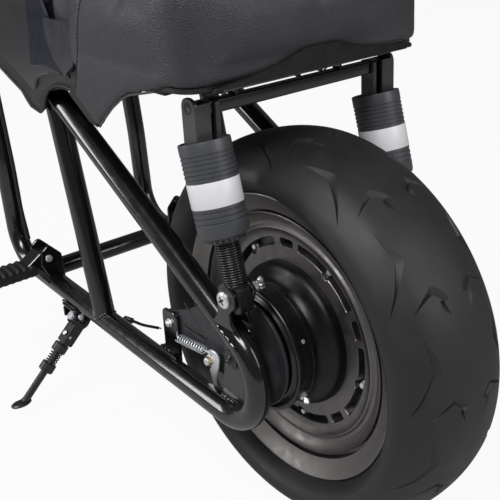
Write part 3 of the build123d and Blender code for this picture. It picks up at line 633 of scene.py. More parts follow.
def tube(shape, points, radius, sides=20, finish=0, swell=None, flat=1.0, softEnds=True):
    points = [Vector(point) for point in points]
    frames = pathFrames(points)
    rows = []
    reach = [radius if swell is None else swell(index / (len(points) - 1)) * radius
             for index in range(len(points))]

    def ring(frame, size, shift=0.0):
        point, first, second, tangent = frame
        return [
            point + tangent * shift
            + first * math.cos(2 * math.pi * side / sides) * size
            + second * math.sin(2 * math.pi * side / sides) * size * flat
            for side in range(sides)
        ]

    if softEnds:
        bite = min(0.6, radius * 0.25)
        rows.append(ring(frames[0], reach[0] - bite))
        rows.append(ring(frames[0], reach[0], bite))
        rows.extend(ring(frame, size) for frame, size in zip(frames[1:-1], reach[1:-1]))
        rows.append(ring(frames[-1], reach[-1], -bite))
        rows.append(ring(frames[-1], reach[-1] - bite))
    else:
        rows.extend(ring(frame, size) for frame, size in zip(frames, reach))
    shape.grid(rows, finish, closeColumns=True)
    for row in (rows[0], rows[-1]):
        shape.add(row, [tuple(range(sides))], finish)


def ball(shape, middle, radius, sides=20, finish=0, flat=1.0, axis=(0, 1, 0)):
    rows = [(max(0.0, math.cos(angle)) * radius, math.sin(angle) * radius * flat)
            for angle in [math.pi * (step / 12 - 0.5) for step in range(13)]]
    lathe(shape, rows, middle, axis, sides, finish, opened=True)


def coil(shape, start, end, radius, wire, turns, finish=0, sides=8, steps=20):
    start, end = Vector(start), Vector(end)
    axis, first, second = turned(end - start)
    length = (end - start).length
    count = int(turns * steps)
    points = []
    for step in range(count + 1):
        angle = 2 * math.pi * step / steps
        along = wire + (length - 2 * wire) * step / count
        points.append(start + axis * along + (first * math.cos(angle) + second * math.sin(angle)) * radius)
    tube(shape, points, wire, sides, finish)


def hexHead(shape, place, axis, across, height, finish=0, turn=0.0):
    axis, first, second = turned(axis)
    radius = across / math.sqrt(3)
    bite = min(1.0, height * 0.2)
    rows = []
    for size, level in ((radius, 0.0), (radius, height - bite), (radius - bite, height)):
        rows.append([
            Vector(place) + axis * level
            + (first * math.cos(math.pi * side / 3 + turn)
               + second * math.sin(math.pi * side / 3 + turn)) * size
            for side in range(6)
        ])
    shape.grid(rows, finish, closeColumns=True)
    shape.add(rows[0], [tuple(range(6))], finish)
    shape.add(rows[-1], [tuple(range(6))], finish)


# A plain round bar between two distances along the axis
def roundBar(shape, middle, axis, radius, low, high, sides=20, finish=0):
    lathe(shape, [(0.0, low), (radius, low), (radius, high), (0.0, high)], middle, axis, sides, finish,
          opened=True)


def washer(shape, place, axis, radius, thickness, finish=0, sides=28):
    bite = thickness * 0.25
    profile = [(0.0, 0.0), (radius, 0.0), (radius, thickness - bite), (radius - bite, thickness),
               (0.0, thickness)]
    lathe(shape, profile, place, axis, sides, finish, opened=True)


def crossScrew(shape, place, axis, radius, height, finish=0, recess=1):
    axisUnit, first, second = turned(axis)
    profile = [(0.0, 0.0), (radius, 0.0), (radius, height * 0.35), (radius * 0.9, height * 0.72),
               (radius * 0.62, height * 0.94), (0.0, height)]
    lathe(shape, profile, place, axis, 28, finish, opened=True)
    top = Vector(place) + axisUnit * (height * 0.93)
    long, short = radius * 0.52, radius * 0.13
    for turn in (0.6, 0.6 + math.pi / 2):
        across = first * math.cos(turn) + second * math.sin(turn)
        up = axisUnit.cross(across)
        outline = [(-long, -short), (long, -short), (long, short), (-long, short)]
        slab(shape, outline, top, across, up, height * 0.12, 0.0, recess)


def weldBead(shape, points, radius, sides=10):
    tube(shape, points, radius, sides,
         swell=lambda share: 0.86 + 0.14 * math.cos(share * len(points) * 1.6))


# A bead along a straight joint, wavering a little sideways
def straightWeld(shape, start, end, steps, radius, waver=0.5, rate=2.2, sides=10):
    start, end = Vector(start), Vector(end)
    points = [start.lerp(end, step / steps) + Vector((0, waver * math.sin(step * rate), 0))
              for step in range(steps + 1)]
    weldBead(shape, points, radius, sides)

# Tyre: one sector of the tread is laid out flat, its slits let in, and turned round the wheel
tyre = {
    "profile": [(0.0, 238.5), (42.0, 232.6), (63.0, 219.0), (76.5, 197.0), (51.5, 176.0)],
    "bead": (46.0, 165.0), "sectors": 13, "columns": 26, "rowStep": 4.4, "start": 23.4,
    "slitDepth": 2.6, "wall": 0.7,
    "shoulderSlit": {
        "inner": [(28.5, 78.0), (34.5, 63.0), (41.0, 49.5), (50.0, 52.5)],
        "outer": [(45.8, 45.5), (41.0, 38.5), (38.2, 47.5), (33.4, 62.0)],
    },
    "crownSlit": {
        "inner": [(27.6, 56.0), (29.6, 41.0), (30.9, 28.5), (28.9, 18.5), (24.2, 13.0)],
        "outer": [(29.5, 10.2), (33.2, 25.0), (30.9, 39.0)],
    },
}


# Half the section from the crown to the bead, with the length along it
def tyreProfile():
    corners = [Vector(corner) for corner in tyre["profile"]]
    slopes = []
    for index in range(len(corners)):
        before, after = corners[max(index - 1, 0)], corners[min(index + 1, len(corners) - 1)]
        slopes.append((after - before).normalized())
    slopes[0] = Vector((1.0, 0.0))
    slopes[3] = Vector((0.0, -1.0))
    slopes[-1] = Vector((-1.0, -0.4)).normalized()
    fine = []
    for index in range(len(corners) - 1):
        a, b = corners[index], corners[index + 1]
        chord = (b - a).length * 1.05
        for step in range(60):
            t = step / 60
            fine.append(
                a * (2 * t ** 3 - 3 * t ** 2 + 1) + slopes[index] * chord * (t ** 3 - 2 * t ** 2 + t)
                + b * (3 * t ** 2 - 2 * t ** 3) + slopes[index + 1] * chord * (t ** 3 - t ** 2)
            )
    fine.append(corners[-1])
    lengths = [0.0]
    for index in range(1, len(fine)):
        lengths.append(lengths[-1] + (fine[index] - fine[index - 1]).length)
    return fine, lengths


profilePoints, profileLengths = tyreProfile()


def onTyre(angle, length, depth):
    side = 1 if length >= 0 else -1
    reach = min(abs(length), profileLengths[-1])
    index = 1
    while index < len(profileLengths) - 1 and profileLengths[index] < reach:
        index += 1
    a, b = profilePoints[index - 1], profilePoints[index]
    share = (reach - profileLengths[index - 1]) / (profileLengths[index] - profileLengths[index - 1])
    place = a.lerp(b, share)
    along = (b - a).normalized()
    normal = Vector((-along.y, along.x))
    place = place - normal * depth
    return onWheel(angle, place.y, place.x * side)


def refined(line, step=3.0, scale=4.0):
    dense = [line[0]]
    for a, b in zip(line, line[1:]):
        length = math.hypot((b[0] - a[0]) * scale, b[1] - a[1])
        count = max(1, round(length / step))
        for index in range(1, count + 1):
            dense.append((a[0] + (b[0] - a[0]) * index / count, a[1] + (b[1] - a[1]) * index / count))
    return dense


def makeTread():
    scale = 4.0
    period = 360 / tyre["sectors"]
    total = profileLengths[-1]
    rows = round(total / tyre["rowStep"])
    points, edges, depths = [], [], []

    def flat(corner):
        return Vector((corner[0] * scale, corner[1]))

    def place(corner, depth):
        points.append(flat(corner))
        depths.append(depth)
        return len(points) - 1

    slits = []
    for kind in ("shoulderSlit", "crownSlit"):
        for side in (1, -1):
            inner = refined([(u, v * side) for u, v in tyre[kind]["inner"]])
            outerEdge = [tyre[kind]["inner"][-1], *tyre[kind]["outer"], tyre[kind]["inner"][0]]
            outer = refined([(u, v * side) for u, v in outerEdge])
            loop = inner + outer[1:-1]
            middle = flat(tyre[kind]["outer"][1])
            middle.y *= side
            start = len(points)
            for corner in loop:
                place(corner, 0.0)
            edges.extend((start + index, start + (index + 1) % len(loop)) for index in range(len(loop)))
            deep = []
            for index in range(1, len(inner) - 1):
                before, after = flat(inner[index - 1]), flat(inner[index + 1])
                along = (after - before).normalized()
                across = Vector((-along.y, along.x))
                if across.dot(middle - flat(inner[index])) < 0:
                    across = -across
                share = min(index, len(inner) - 1 - index) / (len(inner) / 2)
                spotFlat = flat(inner[index]) + across * min(tyre["wall"], 0.35 + share)
                points.append(spotFlat)
                depths.append(tyre["slitDepth"] * min(1.0, share * 1.8))
                deep.append(len(points) - 1)
            edges.extend(zip(deep, deep[1:]))
            slits.append([points[start + index].copy() for index in range(len(loop))])

    def nearSlit(point, margin):
        for loop in slits:
            inside = False
            for a, b in zip(loop, loop[1:] + loop[:1]):
                if (a.y > point.y) != (b.y > point.y):
                    if point.x < (b.x - a.x) * (point.y - a.y) / (b.y - a.y) + a.x:
                        inside = not inside
                line = b - a
                share = max(0.0, min(1.0, (point - a).dot(line) / max(line.length_squared, 1e-9)))
                if (a + line * share - point).length < margin:
                    return True
            if inside:
                return True
        return False

    edgeLeft, edgeRight = [], []
    for row in range(-rows, rows + 1):
        length = total * row / rows
        for column in range(tyre["columns"] + 1):
            angle = tyre["start"] + period * column / tyre["columns"]
            border = column in (0, tyre["columns"])
            if border or not nearSlit(flat((angle, length)), 2.0):
                index = place((angle, length), 0.0)
                if column == 0:
                    edgeLeft.append(index)
                if column == tyre["columns"]:
                    edgeRight.append(index)
    for edge in (edgeLeft, edgeRight):
        edges.extend(zip(edge, edge[1:]))
    found, _, triangles, sources, _, _ = delaunay_2d_cdt(points, edges, [], 0, 1e-4)
    sector = []
    for index, point in enumerate(found):
        depth = max((depths[source] for source in sources[index]), default=0.0)
        sector.append((point.x / scale, point.y, depth))
    unit = Shape()
    axle = onWheel(0, 0, 0)
    unit.add([onTyre(angle, length, depth) - axle for angle, length, depth in sector], triangles)
    shape = Shape()
    shape.takeCopies(unit, roundWheel(tyre["sectors"]))
    count = tyre["sectors"] * tyre["columns"]
    beadY, beadRadius = tyre["bead"]
    lip = profilePoints[-1]
    corners = ((lip.y, lip.x), (beadRadius, beadY), (beadRadius, -beadY), (lip.y, -lip.x))
    shape.grid([wheelRing(radius, y, count, tyre["start"]) for radius, y in corners], closeColumns=True)
    return shape


makeTread().finishPiece("tyreBody", "rear_wheel", ["tyre"], ["rear_tyre"], "tyre", sharp=14.0, weld=0.02)
print("tyre ready")

# Rim: the face with its windows is laid out in one fifth of a turn, the rest is turned
rim = {
    "inner": 88.7, "faceY": 31.0, "faceEdge": 119.0, "windowInner": 106.8, "windowOuter": 116.2,
    "longStart": 33.3, "longEnd": 83.6, "shortStart": 16.2, "shortEnd": 27.4,
    "boltAngle": 58.3, "boltRadius": 111.5,
    "depth": 11.0, "count": 5, "columns": 36, "notch": 5.6,
    "outside": [(119.0, 31.0), (123.5, 31.6), (127.0, 34.0), (129.6, 36.4), (131.2, 36.0), (133.5, 33.8),
                (137.0, 33.6), (143.0, 36.6), (148.3, 41.4), (149.6, 43.4), (150.2, 43.0), (150.6, 34.0),
                (154.0, 34.0), (154.6, 44.2), (158.0, 45.6), (165.0, 49.6), (171.0, 53.4), (173.6, 55.2),
                (175.0, 55.9), (176.0, 55.5), (176.3, 54.5), (176.0, 52.0), (165.0, 46.2)],
}


# A slot with rounded ends along an arc, as (degrees, radius)
def windowLoop(start, end, notched, grow=0.0):
    low, high = rim["windowInner"] - grow, rim["windowOuter"] + grow
    mean = (low + high) / 2
    mmPerDegree = mean * math.pi / 180
    spread = grow / mmPerDegree
    corner = 2.6 + grow
    corners = [(start - spread, low), (end + spread, low), (end + spread, high), (start - spread, high)]
    flatCorners = [(angle * mmPerDegree, radius) for angle, radius in corners]
    loop = [(x / mmPerDegree, y) for x, y in softened(flatCorners, corner, 4)]
    dense = []
    for a, b in zip(loop, loop[1:] + loop[:1]):
        count = max(1, round(abs(b[0] - a[0]) / 2.0))
        for index in range(count):
            dense.append((a[0] + (b[0] - a[0]) * index / count, a[1] + (b[1] - a[1]) * index / count))
    if notched:
        kept = []
        reach = (rim["notch"] + grow) / mmPerDegree
        placed = False
        for angle, radius in dense:
            if radius < mean and abs(angle - rim["boltAngle"]) < reach * 1.15:
                if not placed:
                    for step in range(9):
                        turn = math.pi * step / 8
                        kept.append((rim["boltAngle"] - math.cos(turn) * reach,
                                     low - math.sin(turn) * (rim["notch"] * 0.62 + grow)))
                    placed = True
                continue
            kept.append((angle, radius))
        dense = kept
    return dense


def makeRim():
    scale = 2.0
    period = 360 / rim["count"]
    points, depths, edges, loops = [], [], [], []

    def addLoop(loop, depth):
        start = len(points)
        for angle, radius in loop:
            points.append(Vector((angle * scale, radius)))
            depths.append(depth)
        edges.extend((start + index, start + (index + 1) % len(loop)) for index in range(len(loop)))
        return start

    for start, end, notched in ((rim["longStart"], rim["longEnd"], True),
                                (rim["shortStart"], rim["shortEnd"], False)):
        outerLoop = windowLoop(start, end, notched, 0.7)
        loops.append([Vector((angle * scale, radius)) for angle, radius in outerLoop])
        addLoop(outerLoop, 0.0)
        addLoop(windowLoop(start, end, notched, 0.15), 0.7)
        addLoop(windowLoop(start, end, notched, -0.35), rim["depth"])
    first = 15.0
    radii = [rim["inner"], 92.0, 96.0, 100.0, 103.5, 117.6, rim["faceEdge"]]
    for radius in radii:
        for column in range(rim["columns"] + 1):
            angle = first + period * column / rim["columns"]
            point = Vector((angle * scale, radius))
            border = radius in (rim["inner"], rim["faceEdge"]) or column in (0, rim["columns"])
            close = any(min((corner - point).length for corner in loop) < 1.2 for loop in loops)
            if border or not close:
                points.append(point)
                depths.append(0.0)
    found, _, triangles, sources, _, _ = delaunay_2d_cdt(points, edges, [], 0, 1e-4)
    sector = [
        (point.x / scale, point.y, max((depths[source] for source in sources[index]), default=0.0))
        for index, point in enumerate(found)
    ]
    # Triangles of the window floors deeper than 5 mm take the second finish, motor black: painted shade in
    # the window pockets; the rest keep the rim's own grey
    light, dark = [], []
    for triangle in triangles:
        shallowest = min(sector[index][2] for index in triangle)
        (dark if shallowest > 5 else light).append(triangle)
    shape = Shape()
    ringSteps = rim["count"] * rim["columns"]
    axle = onWheel(0, 0, 0)
    for side in (1, -1):
        placed = [onWheel(angle, radius, side * (rim["faceY"] - depth)) - axle for angle, radius,
                  depth in sector]
        for finish, faces in enumerate((light, dark)):
            unit = Shape()
            unit.add(placed, faces)
            shape.takeCopies(unit, roundWheel(rim["count"]), finish)
        shape.grid([wheelRing(radius, side * y, ringSteps, first) for radius, y in rim["outside"]],
                   closeColumns=True)
    for radius, y in (rim["outside"][-1], (rim["inner"], rim["faceY"])):
        shape.grid([wheelRing(radius, end, ringSteps, first) for end in (-y, y)], closeColumns=True)
    return shape


# The second finish, motor black, is the painted shade on the rim's window floors
makeRim().finishPiece("rimBody", "rear_wheel", ["rim", "motor"], ["rear_rim"], "rim_grey", sharp=28.0,
                      weld=0.02)
rimBolt = Shape()
washer(rimBolt, (0, 0, 0), (0, 0, 1), 4.6, 5.0, 0, 20)
hexHead(rimBolt, (0, 0, 5.0), (0, 0, 1), 6.4, 3.4)
places = []
for number in range(rim["count"]):
    for side in (1, -1):
        outward, first, second = turned((0, side, 0))
        angle = rim["boltAngle"] + 360 / rim["count"] * number
        boltFoot = onWheel(angle, rim["boltRadius"], side * (rim["faceY"] - rim["depth"]))
        places.append((boltFoot, outward, first * math.cos(number) + second * math.sin(number), 1.0))
rimBolt.repeatPiece("rimBolts", "rear_wheel", "zinc", places)
print("rim ready")

# Motor cover and brake drum
motorCover = {
    "profile": [(8.1, 0.0), (8.1, 58.4), (66.0, 58.4), (68.4, 57.2), (69.6, 54.6), (73.5, 49.8),
                (79.0, 46.6), (84.0, 44.2), (87.0, 41.2), (88.3, 37.6), (88.5, 33.4), (88.5, 0.0)],
}
drum = {
    "profile": [(8.1, 58.8), (72.8, 58.8), (73.6, 59.6), (73.8, 66.0), (73.5, 66.3), (73.5, 67.1),
                (73.8, 67.4), (74.2, 80.4), (74.9, 81.0), (75.6, 82.4), (76.0, 84.2), (75.9, 87.6),
                (75.2, 89.2), (73.8, 89.9), (71.6, 89.8), (70.4, 88.6), (69.6, 86.2), (68.2, 85.6),
                (66.4, 86.4), (65.0, 88.6), (63.6, 89.6), (61.6, 89.4), (60.6, 88.0), (60.2, 84.4),
                (8.1, 84.4)],
}
motorShape = Shape()
for side in (1, -1):
    half = [(radius, side * y) for radius, y in motorCover["profile"]]
    lathe(motorShape, half, (0, 0, axleHeight), (0, 1, 0), 120, opened=True)
motorShape.finishPiece("motorCover", "rear_wheel", ["satinBlack"], ["hub_motor"], "motor_black", sharp=40.0)
drumShape = Shape()
lathe(drumShape, drum["profile"], (0, 0, axleHeight), (0, 1, 0), 120, 0)
drumShape.finishPiece("drumBody", "rear_wheel", ["motor"], ["brake_drum"], "motor_black", sharp=40.0)

# Two radial bolts with nuts on the drum, a small screw, and a clip
drumBolts = Shape()
for angle, y in ((91.0, 76.0), (-31.0, 76.0)):
    foot = onWheel(angle, 73.0, y)
    away = (onWheel(angle, 1.0, 0) - Vector((0, 0, axleHeight))).normalized()
    washer(drumBolts, foot, away, 5.4, 1.2, 0, 24)
    hexHead(drumBolts, foot + away * 1.2, away, 8.4, 4.2, 0, 0.2)
    lathe(drumBolts, [(0.0, 5.0), (2.3, 5.0), (2.3, 9.0), (2.3, 12.6), (1.8, 13.2), (0.0, 13.2)], foot,
          away, 16, opened=True)
    hexHead(drumBolts, foot + away * 8.2, away, 6.6, 3.4, 0, 0.7)
screwWay = (onWheel(25.0, 1.0, 0) - Vector((0, 0, axleHeight))).normalized()
crossScrew(drumBolts, onWheel(25.0, 73.4, 75.0), screwWay, 2.6, 1.2, 0, 0)
slab(drumBolts, softened([(-7, -9), (4, -9), (5, 6), (-5, 10)], 2.0, 4), onWheel(91.0, 75.0, 84.0),
     (1, 0, 0), (0, 0, 1), 1.6, 0.4)
drumBolts.finishPiece("drumBolts", "rear_wheel", ["zinc"])
print("drum ready")

# Shocks, with their shrouds, springs and brackets
shock = {
    "y": 126.7, "top": (17.6, 488.6), "lean": (-0.2527, -0.9676), "reach": 171.1, "girth": 1.052,
    "shroud": [(13.0, 4.0), (24.2, 4.0), (24.8, -3.8), (25.6, -4.8), (26.6, -4.4), (27.0, -3.0),
               *[(radius, groove + along) for groove in (8.8, 13.2, 18.0, 22.8, 27.6)
                 for radius, along in ((27.0, -0.6), (26.2, 0.0), (26.2, 1.0), (27.0, 1.6))],
               (27.0, 31.8), (26.2, 32.4), (26.2, 33.4), (26.8, 34.0), (26.8, 67.4), (26.0, 68.0),
               (26.0, 69.0), (26.9, 69.8), (26.9, 73.2),
               (26.0, 74.0), (26.0, 75.0), (26.9, 75.8), (26.9, 79.2), (26.1, 80.0), (26.1, 81.0),
               (26.9, 81.8), (26.6, 93.0), (25.2, 96.4), (21.6, 97.8), (21.2, 98.6), (21.2, 101.6),
               (20.4, 102.4), (19.0, 102.4), (18.6, 101.6), (18.6, 84.0), (13.0, 84.0)],
    "band": (37.0, 64.0), "teeth": 22, "spring": (2.75, 84.5, 150.8),
    "springTurn": [(11.7, 0.0), (13.0, 0.16), (13.7, 0.3), (13.95, 0.5), (13.7, 0.7), (13.0, 0.84)],
    "bracketY": 141.5, "bolt": (-17.4, 326.0),
}


def shockPoint(side, along, forward=0.0, sideways=0.0):
    x = shock["top"][0] + shock["lean"][0] * along - shock["lean"][1] * forward
    z = shock["top"][1] + shock["lean"][1] * along + shock["lean"][0] * forward
    return Vector((x, side * shock["y"] + sideways, z))


for sideName, side in (("left", 1), ("right", -1)):
    axis, first, second = turned((shock["lean"][0], 0, shock["lean"][1]))
    top = shockPoint(side, 0)
    shroud = Shape()
    lathe(shroud, [(radius * shock["girth"], along) for radius, along in shock["shroud"]], top, axis, 64)
    shroud.finishPiece(sideName + "Shroud", "frame", ["shroud"], [sideName + "_shock_shroud"],
                       "shroud_grey", 30.0)
    details = Shape()
    start, end = shock["band"]
    bandProfile = [(27.6, start), (28.4, start), (28.5, start + 0.2), (28.5, end - 0.2), (28.4, end),
                   (27.6, end)]
    lathe(details, bandProfile, top, axis, 64)
    details.finishPiece(sideName + "ShroudBand", "frame", ["label"], sharp=30.0)
    # Thin dark marks laid on the shroud's lower rim stand in for its notches: painted shade, with no
    # opening cut
    notchShadeMark = Shape()
    notchShadeOutline = [(-1.5, 98.9), (1.5, 98.9), (1.5, 101.2), (-1.5, 101.2)]
    slab(notchShadeMark, notchShadeOutline, (0, 22.4, 0), (1, 0, 0), (0, 0, 1), 0.3, 0.0)
    angles = [2 * math.pi * number / shock["teeth"] for number in range(shock["teeth"])]
    places = [(top, axis, first * math.cos(angle) + second * math.sin(angle), 1.0) for angle in angles]
    notchShadeMark.repeatPiece(sideName + "ShroudSlots", "frame", "motor", places, sharp=30.0)

    spring = Shape()
    pitch, low, high = shock["spring"]
    rings = []
    along = low
    while along < high - pitch:
        rings += [(radius, along + pitch * share) for radius, share in shock["springTurn"]]
        along += pitch
    rings += [(11.7, high), (7.2, high), (7.2, low)]
    lathe(spring, rings, top, axis, 40)
    spring.finishPiece(sideName + "SpringCoils", "frame", ["springBlack"], [sideName + "_shock_spring"],
                       "spring_black", 70.0)

    # Lower end: a block with a round foot between the bracket's two plates
    lowerEnd = Shape()
    lathe(lowerEnd, [(0.0, 84.2), (7.0, 84.2), (7.0, 151.0), (13.0, 151.0), (13.6, 151.8), (13.6, 155.0),
                     (12.6, 156.0), (0.0, 156.0)], top, axis, 32, opened=True)
    pivot = shockPoint(side, shock["reach"])
    outline = softened([(-11.5, -16.0), (11.5, -16.0), (13.0, 4.0), (9.5, 13.0), (-9.5, 13.0),
                        (-13.0, 4.0)],
                       [2.0, 2.0, 6.0, 7.0, 7.0, 6.0])
    slab(lowerEnd, outline, pivot - Vector((0, 9.6, 0)), (-axis.z, 0, axis.x), axis, 19.2, 1.2)
    lowerEnd.finishPiece(sideName + "ShockEye", "frame", ["motor"], [sideName + "_shock_eye"],
                         "spring_black")

    bracket = Shape()
    outerY = shock["bracketY"]
    plate = softened([(-9.0, 341.0), (-18.0, 346.5), (-35.0, 336.5), (-35.0, 322.5), (-24.0, 311.0),
                      (-26.0, 300.0), (-34.0, 291.0), (8.0, 291.0), (-3.0, 304.0), (-4.0, 316.0)],
                     [2.5, 2.5, 3.0, 3.0, 6.0, 6.0, 1.0, 1.0, 8.0, 6.0])
    inner = softened([(-12.0, 345.0), (-21.0, 350.0), (-38.0, 337.0), (-36.0, 327.0), (-22.0, 304.0),
                      (-30.0, 291.0), (4.0, 291.0), (-2.0, 306.0)],
                     [3.0, 3.0, 4.0, 4.0, 8.0, 1.0, 1.0, 6.0])
    sidePlate(bracket, plate, side, outerY, 4.5, 1.0)
    sidePlate(bracket, inner, side, 116.6, 4.4, 1.0)
    for weldY, lift in ((138.6, 4.5), (115.0, 12.6)):
        start, end = [(x, side * weldY, upperTubeZ(x) + lift) for x in (-30.0, 3.6)]
        straightWeld(bracket, start, end, 14, 2.3, side * 0.5, 1.9)
    bracket.finishPiece(sideName + "ShockBracket", "frame", ["frame"], [sideName + "_shock_bracket"],
                        "frame_paint")
    # A thin dark sheet on the bracket's outer face stands in for its slot: painted shade, with no opening
    # cut
    slotShade = Shape()
    slotShadeOutline = softened([(-14.6, 339.2), (-21.0, 342.6), (-33.0, 332.6), (-31.5, 325.5), (-26.5, 322.5)],
                           [2.0, 2.5, 2.5, 2.0, 2.0])
    slab(slotShade, slotShadeOutline, (0, side * (outerY + 0.15), 0), (1, 0, 0), (0, 0, 1), 0.3, 0.0)
    slotShade.finishPiece(sideName + "BracketSlot", "frame", ["motor"])
    fastener = Shape()
    boltX, boltZ = shock["bolt"]
    place = Vector((boltX, side * outerY, boltZ))
    washer(fastener, place, (0, side, 0), 9.6, 1.2, 0, 32)
    crossScrew(fastener, place + Vector((0, side * 1.2, 0)), (0, side, 0), 9.4, 2.6, 0, 1)
    back = Vector((boltX, side * 112.2, boltZ))
    hexHead(fastener, back, (0, -side, 0), 13.0, 5.0, 0, 0.3)
    fastener.finishPiece(sideName + "BracketBolt", "frame", ["zinc", "motor"])

    # Carrier above the shroud: an outer ear, a rear web and a narrow inner strip
    clevis = Shape()
    ear = softened([(5.0, 478.0), (29.0, 478.0), (29.0, 541.0), (5.0, 541.0)], [0.5, 0.5, 11.5, 11.5], 7)
    web = softened([(5.2, 478.0), (9.8, 478.0), (9.8, 534.5), (5.2, 534.5)], 0.6)
    strip = softened([(7.0, 478.0), (27.0, 478.0), (27.0, 534.0), (7.0, 534.0)], [0.5, 0.5, 3.0, 3.0])
    frontWall = softened([(23.6, 478.0), (27.6, 478.0), (27.6, 534.0), (23.6, 534.0)], 0.6)
    for outline, outer, depth, edge in ((ear, 144.8, 4.5, 0.8), (web, 143.0, 18.4, 0.6),
                                        (strip, 117.4, 6.0, 0.8), (frontWall, 142.0, 30.0, 0.6)):
        sidePlate(clevis, outline, side, outer, depth, edge)
    # Its carrier grey is painted sheen on what is black paint
    clevis.finishPiece(sideName + "Carrier", "frame", ["carrier"], [sideName + "_shock_clevis"],
                       "frame_paint")
    # The ear's hole is painted, not cut: a dark disc for the shade inside it, and a smaller offset grey
    # disc for a painted highlight
    holeShadeAndHighlight = Shape()
    roundBar(holeShadeAndHighlight, (17.4, side * 144.8, 530.0), (0, side, 0), 6.4, 0.0, 0.3, 32, 0)
    roundBar(holeShadeAndHighlight, (15.0, side * 144.8, 529.4), (0, side, 0), 3.2, 0.0, 0.4, 32, 1)
    holeShadeAndHighlight.finishPiece(sideName + "CarrierHole", "frame", ["thread", "carrier"])

bar = Shape()
barProfile = softened([(11.0, 520.0), (25.0, 520.0), (25.0, 534.0), (11.0, 534.0)], 1.8)
sidePlate(bar, barProfile, 1, 126.0, 252.0, 0.4)
for tabY in (85.0, -65.0):
    slab(bar, softened([(13.0, 533.0), (24.0, 533.0), (22.0, 541.4), (15.0, 541.4)], 1.5), (0, tabY, 0),
         (1, 0, 0), (0, 0, 1), 3.2, 0.5)
    straightWeld(bar, (12.0, tabY + 0.8, 534.4), (25.0, tabY + 0.8, 534.4), 13, 1.5, rate=2.1)
bar.finishPiece("seatCrossBar", "frame", ["frame"], ["seat_cross_bar"], "frame_paint")
print("shocks ready")

# Seat: moulded pad with a flap down each side, swelled by a short cloth run
seat = {
    "plan": [(300, -147), (226, -147), (208, -173), (-22, -173), (-22, 173), (208, 173), (226, 147),
             (300, 147)],
    "planRadii": [10, 12, 10, 44, 44, 10, 12, 10],
    "levels": [(556.5, 3.5), (559.0, 0.8), (600.0, 0.0), (640.0, 0.6), (662.0, 4.0), (674.0, 10.0),
               (681.0, 19.0), (684.0, 30.0)],
    "flap": [(16, 568), (16, 557), (36, 549.5), (58, 544.5), (84, 539), (101, 532), (124, 518), (151, 497),
             (157, 491), (163, 490), (209, 520), (211, 526), (193, 568)],
    "flapRadii": [2, 8, 20, 20, 24, 30, 60, 20, 3, 3, 4, 4, 2],
    "voxel": 0.0055, "pressure": 3.0, "cap": 0.006, "frames": 20,
    "seamBottom": (206.0, 528.0), "seamTop": (159.0, 664.0), "stitch": 4.2,
}


def seatStart():
    shape = Shape()
    plan = softened(seat["plan"], seat["planRadii"], 7)
    rows = []
    for height, amount in seat["levels"]:
        ring = inset(plan, amount) if amount else plan
        dip = 7.0 if height > 650 else 0.0
        rows.append([(x, y, height - dip * math.exp(-((x - 140) / 65) ** 2)) for x, y in ring])
    shape.grid(rows, 0, closeColumns=True)
    count = len(plan)
    shape.add(rows[0], [tuple(range(count))])
    crown = [(x * 0.9 + 13.5, y * 0.72, z + 2.0) for x, y, z in rows[-1]]
    shape.grid([rows[-1], crown], 0, closeColumns=True)
    shape.add(crown, [tuple(range(count))])
    flap = softened(seat["flap"], seat["flapRadii"], 6)
    for side in (1, -1):
        sidePlate(shape, flap, side, 174.0, 9.0, 2.0)
    return shape


# The pad's skin is blown outward a little, with its lower edge held
def swellSeat(piece):
    remesh = piece.modifiers.new("remesh", "REMESH")
    remesh.mode = "VOXEL"
    remesh.voxel_size = seat["voxel"]
    applyModifiers(piece)
    start = [vertex.co.copy() for vertex in piece.data.vertices]
    held = piece.vertex_groups.new(name="held")
    lowest = spot(0, 0, 566).z
    for vertex in piece.data.vertices:
        weight = min(1.0, max(0.0, (lowest + 0.012 - vertex.co.z) / 0.012))
        if weight > 0:
            held.add([vertex.index], weight, "REPLACE")
    cloth = piece.modifiers.new("cloth", "CLOTH")
    cloth.settings.use_pressure = True
    cloth.settings.uniform_pressure_force = seat["pressure"]
    cloth.settings.effector_weights.gravity = 0.0
    cloth.settings.vertex_group_mass = "held"
    cloth.settings.tension_stiffness = 12.0
    cloth.settings.quality = 4
    scene = bpy.context.scene
    for number in range(1, seat["frames"] + 1):
        scene.frame_set(number)
    moved = piece.evaluated_get(bpy.context.evaluated_depsgraph_get()).data
    swollen = [vertex.co.copy() for vertex in moved.vertices]
    piece.modifiers.clear()
    for vertex, before, after in zip(piece.data.vertices, start, swollen):
        step = after - before
        if step.length > seat["cap"]:
            step *= seat["cap"] / step.length
        vertex.co = before + step
    scene.frame_set(1)
    smooth = piece.modifiers.new("smooth", "SMOOTH")
    smooth.factor = 0.5
    smooth.iterations = 4
    smooth.vertex_group = "held"
    smooth.invert_vertex_group = True
    applyModifiers(piece)
    dense = piece.modifiers.new("dense", "SUBSURF")
    dense.levels = dense.render_levels = 1
    applyModifiers(piece)
    piece.data.shade_smooth()


seatNodes = ["seat_cushion", "left_seat_skirt", "right_seat_skirt"]
seatPad = seatStart().finishPiece("seatPad", "frame", ["leather"], seatNodes, "seat_leather", 60.0,
                                  weld=0.05)
swellSeat(seatPad)


def seamLine(start, end, steps):
    return [tuple(Vector(start).lerp(Vector(end), step / steps)) for step in range(steps + 1)]


def onPad(tree, x, z, side):
    hit, normal, _, _ = tree.ray_cast(spot(x, side * 400, z), Vector((0, -side, 0)))
    return hit, normal


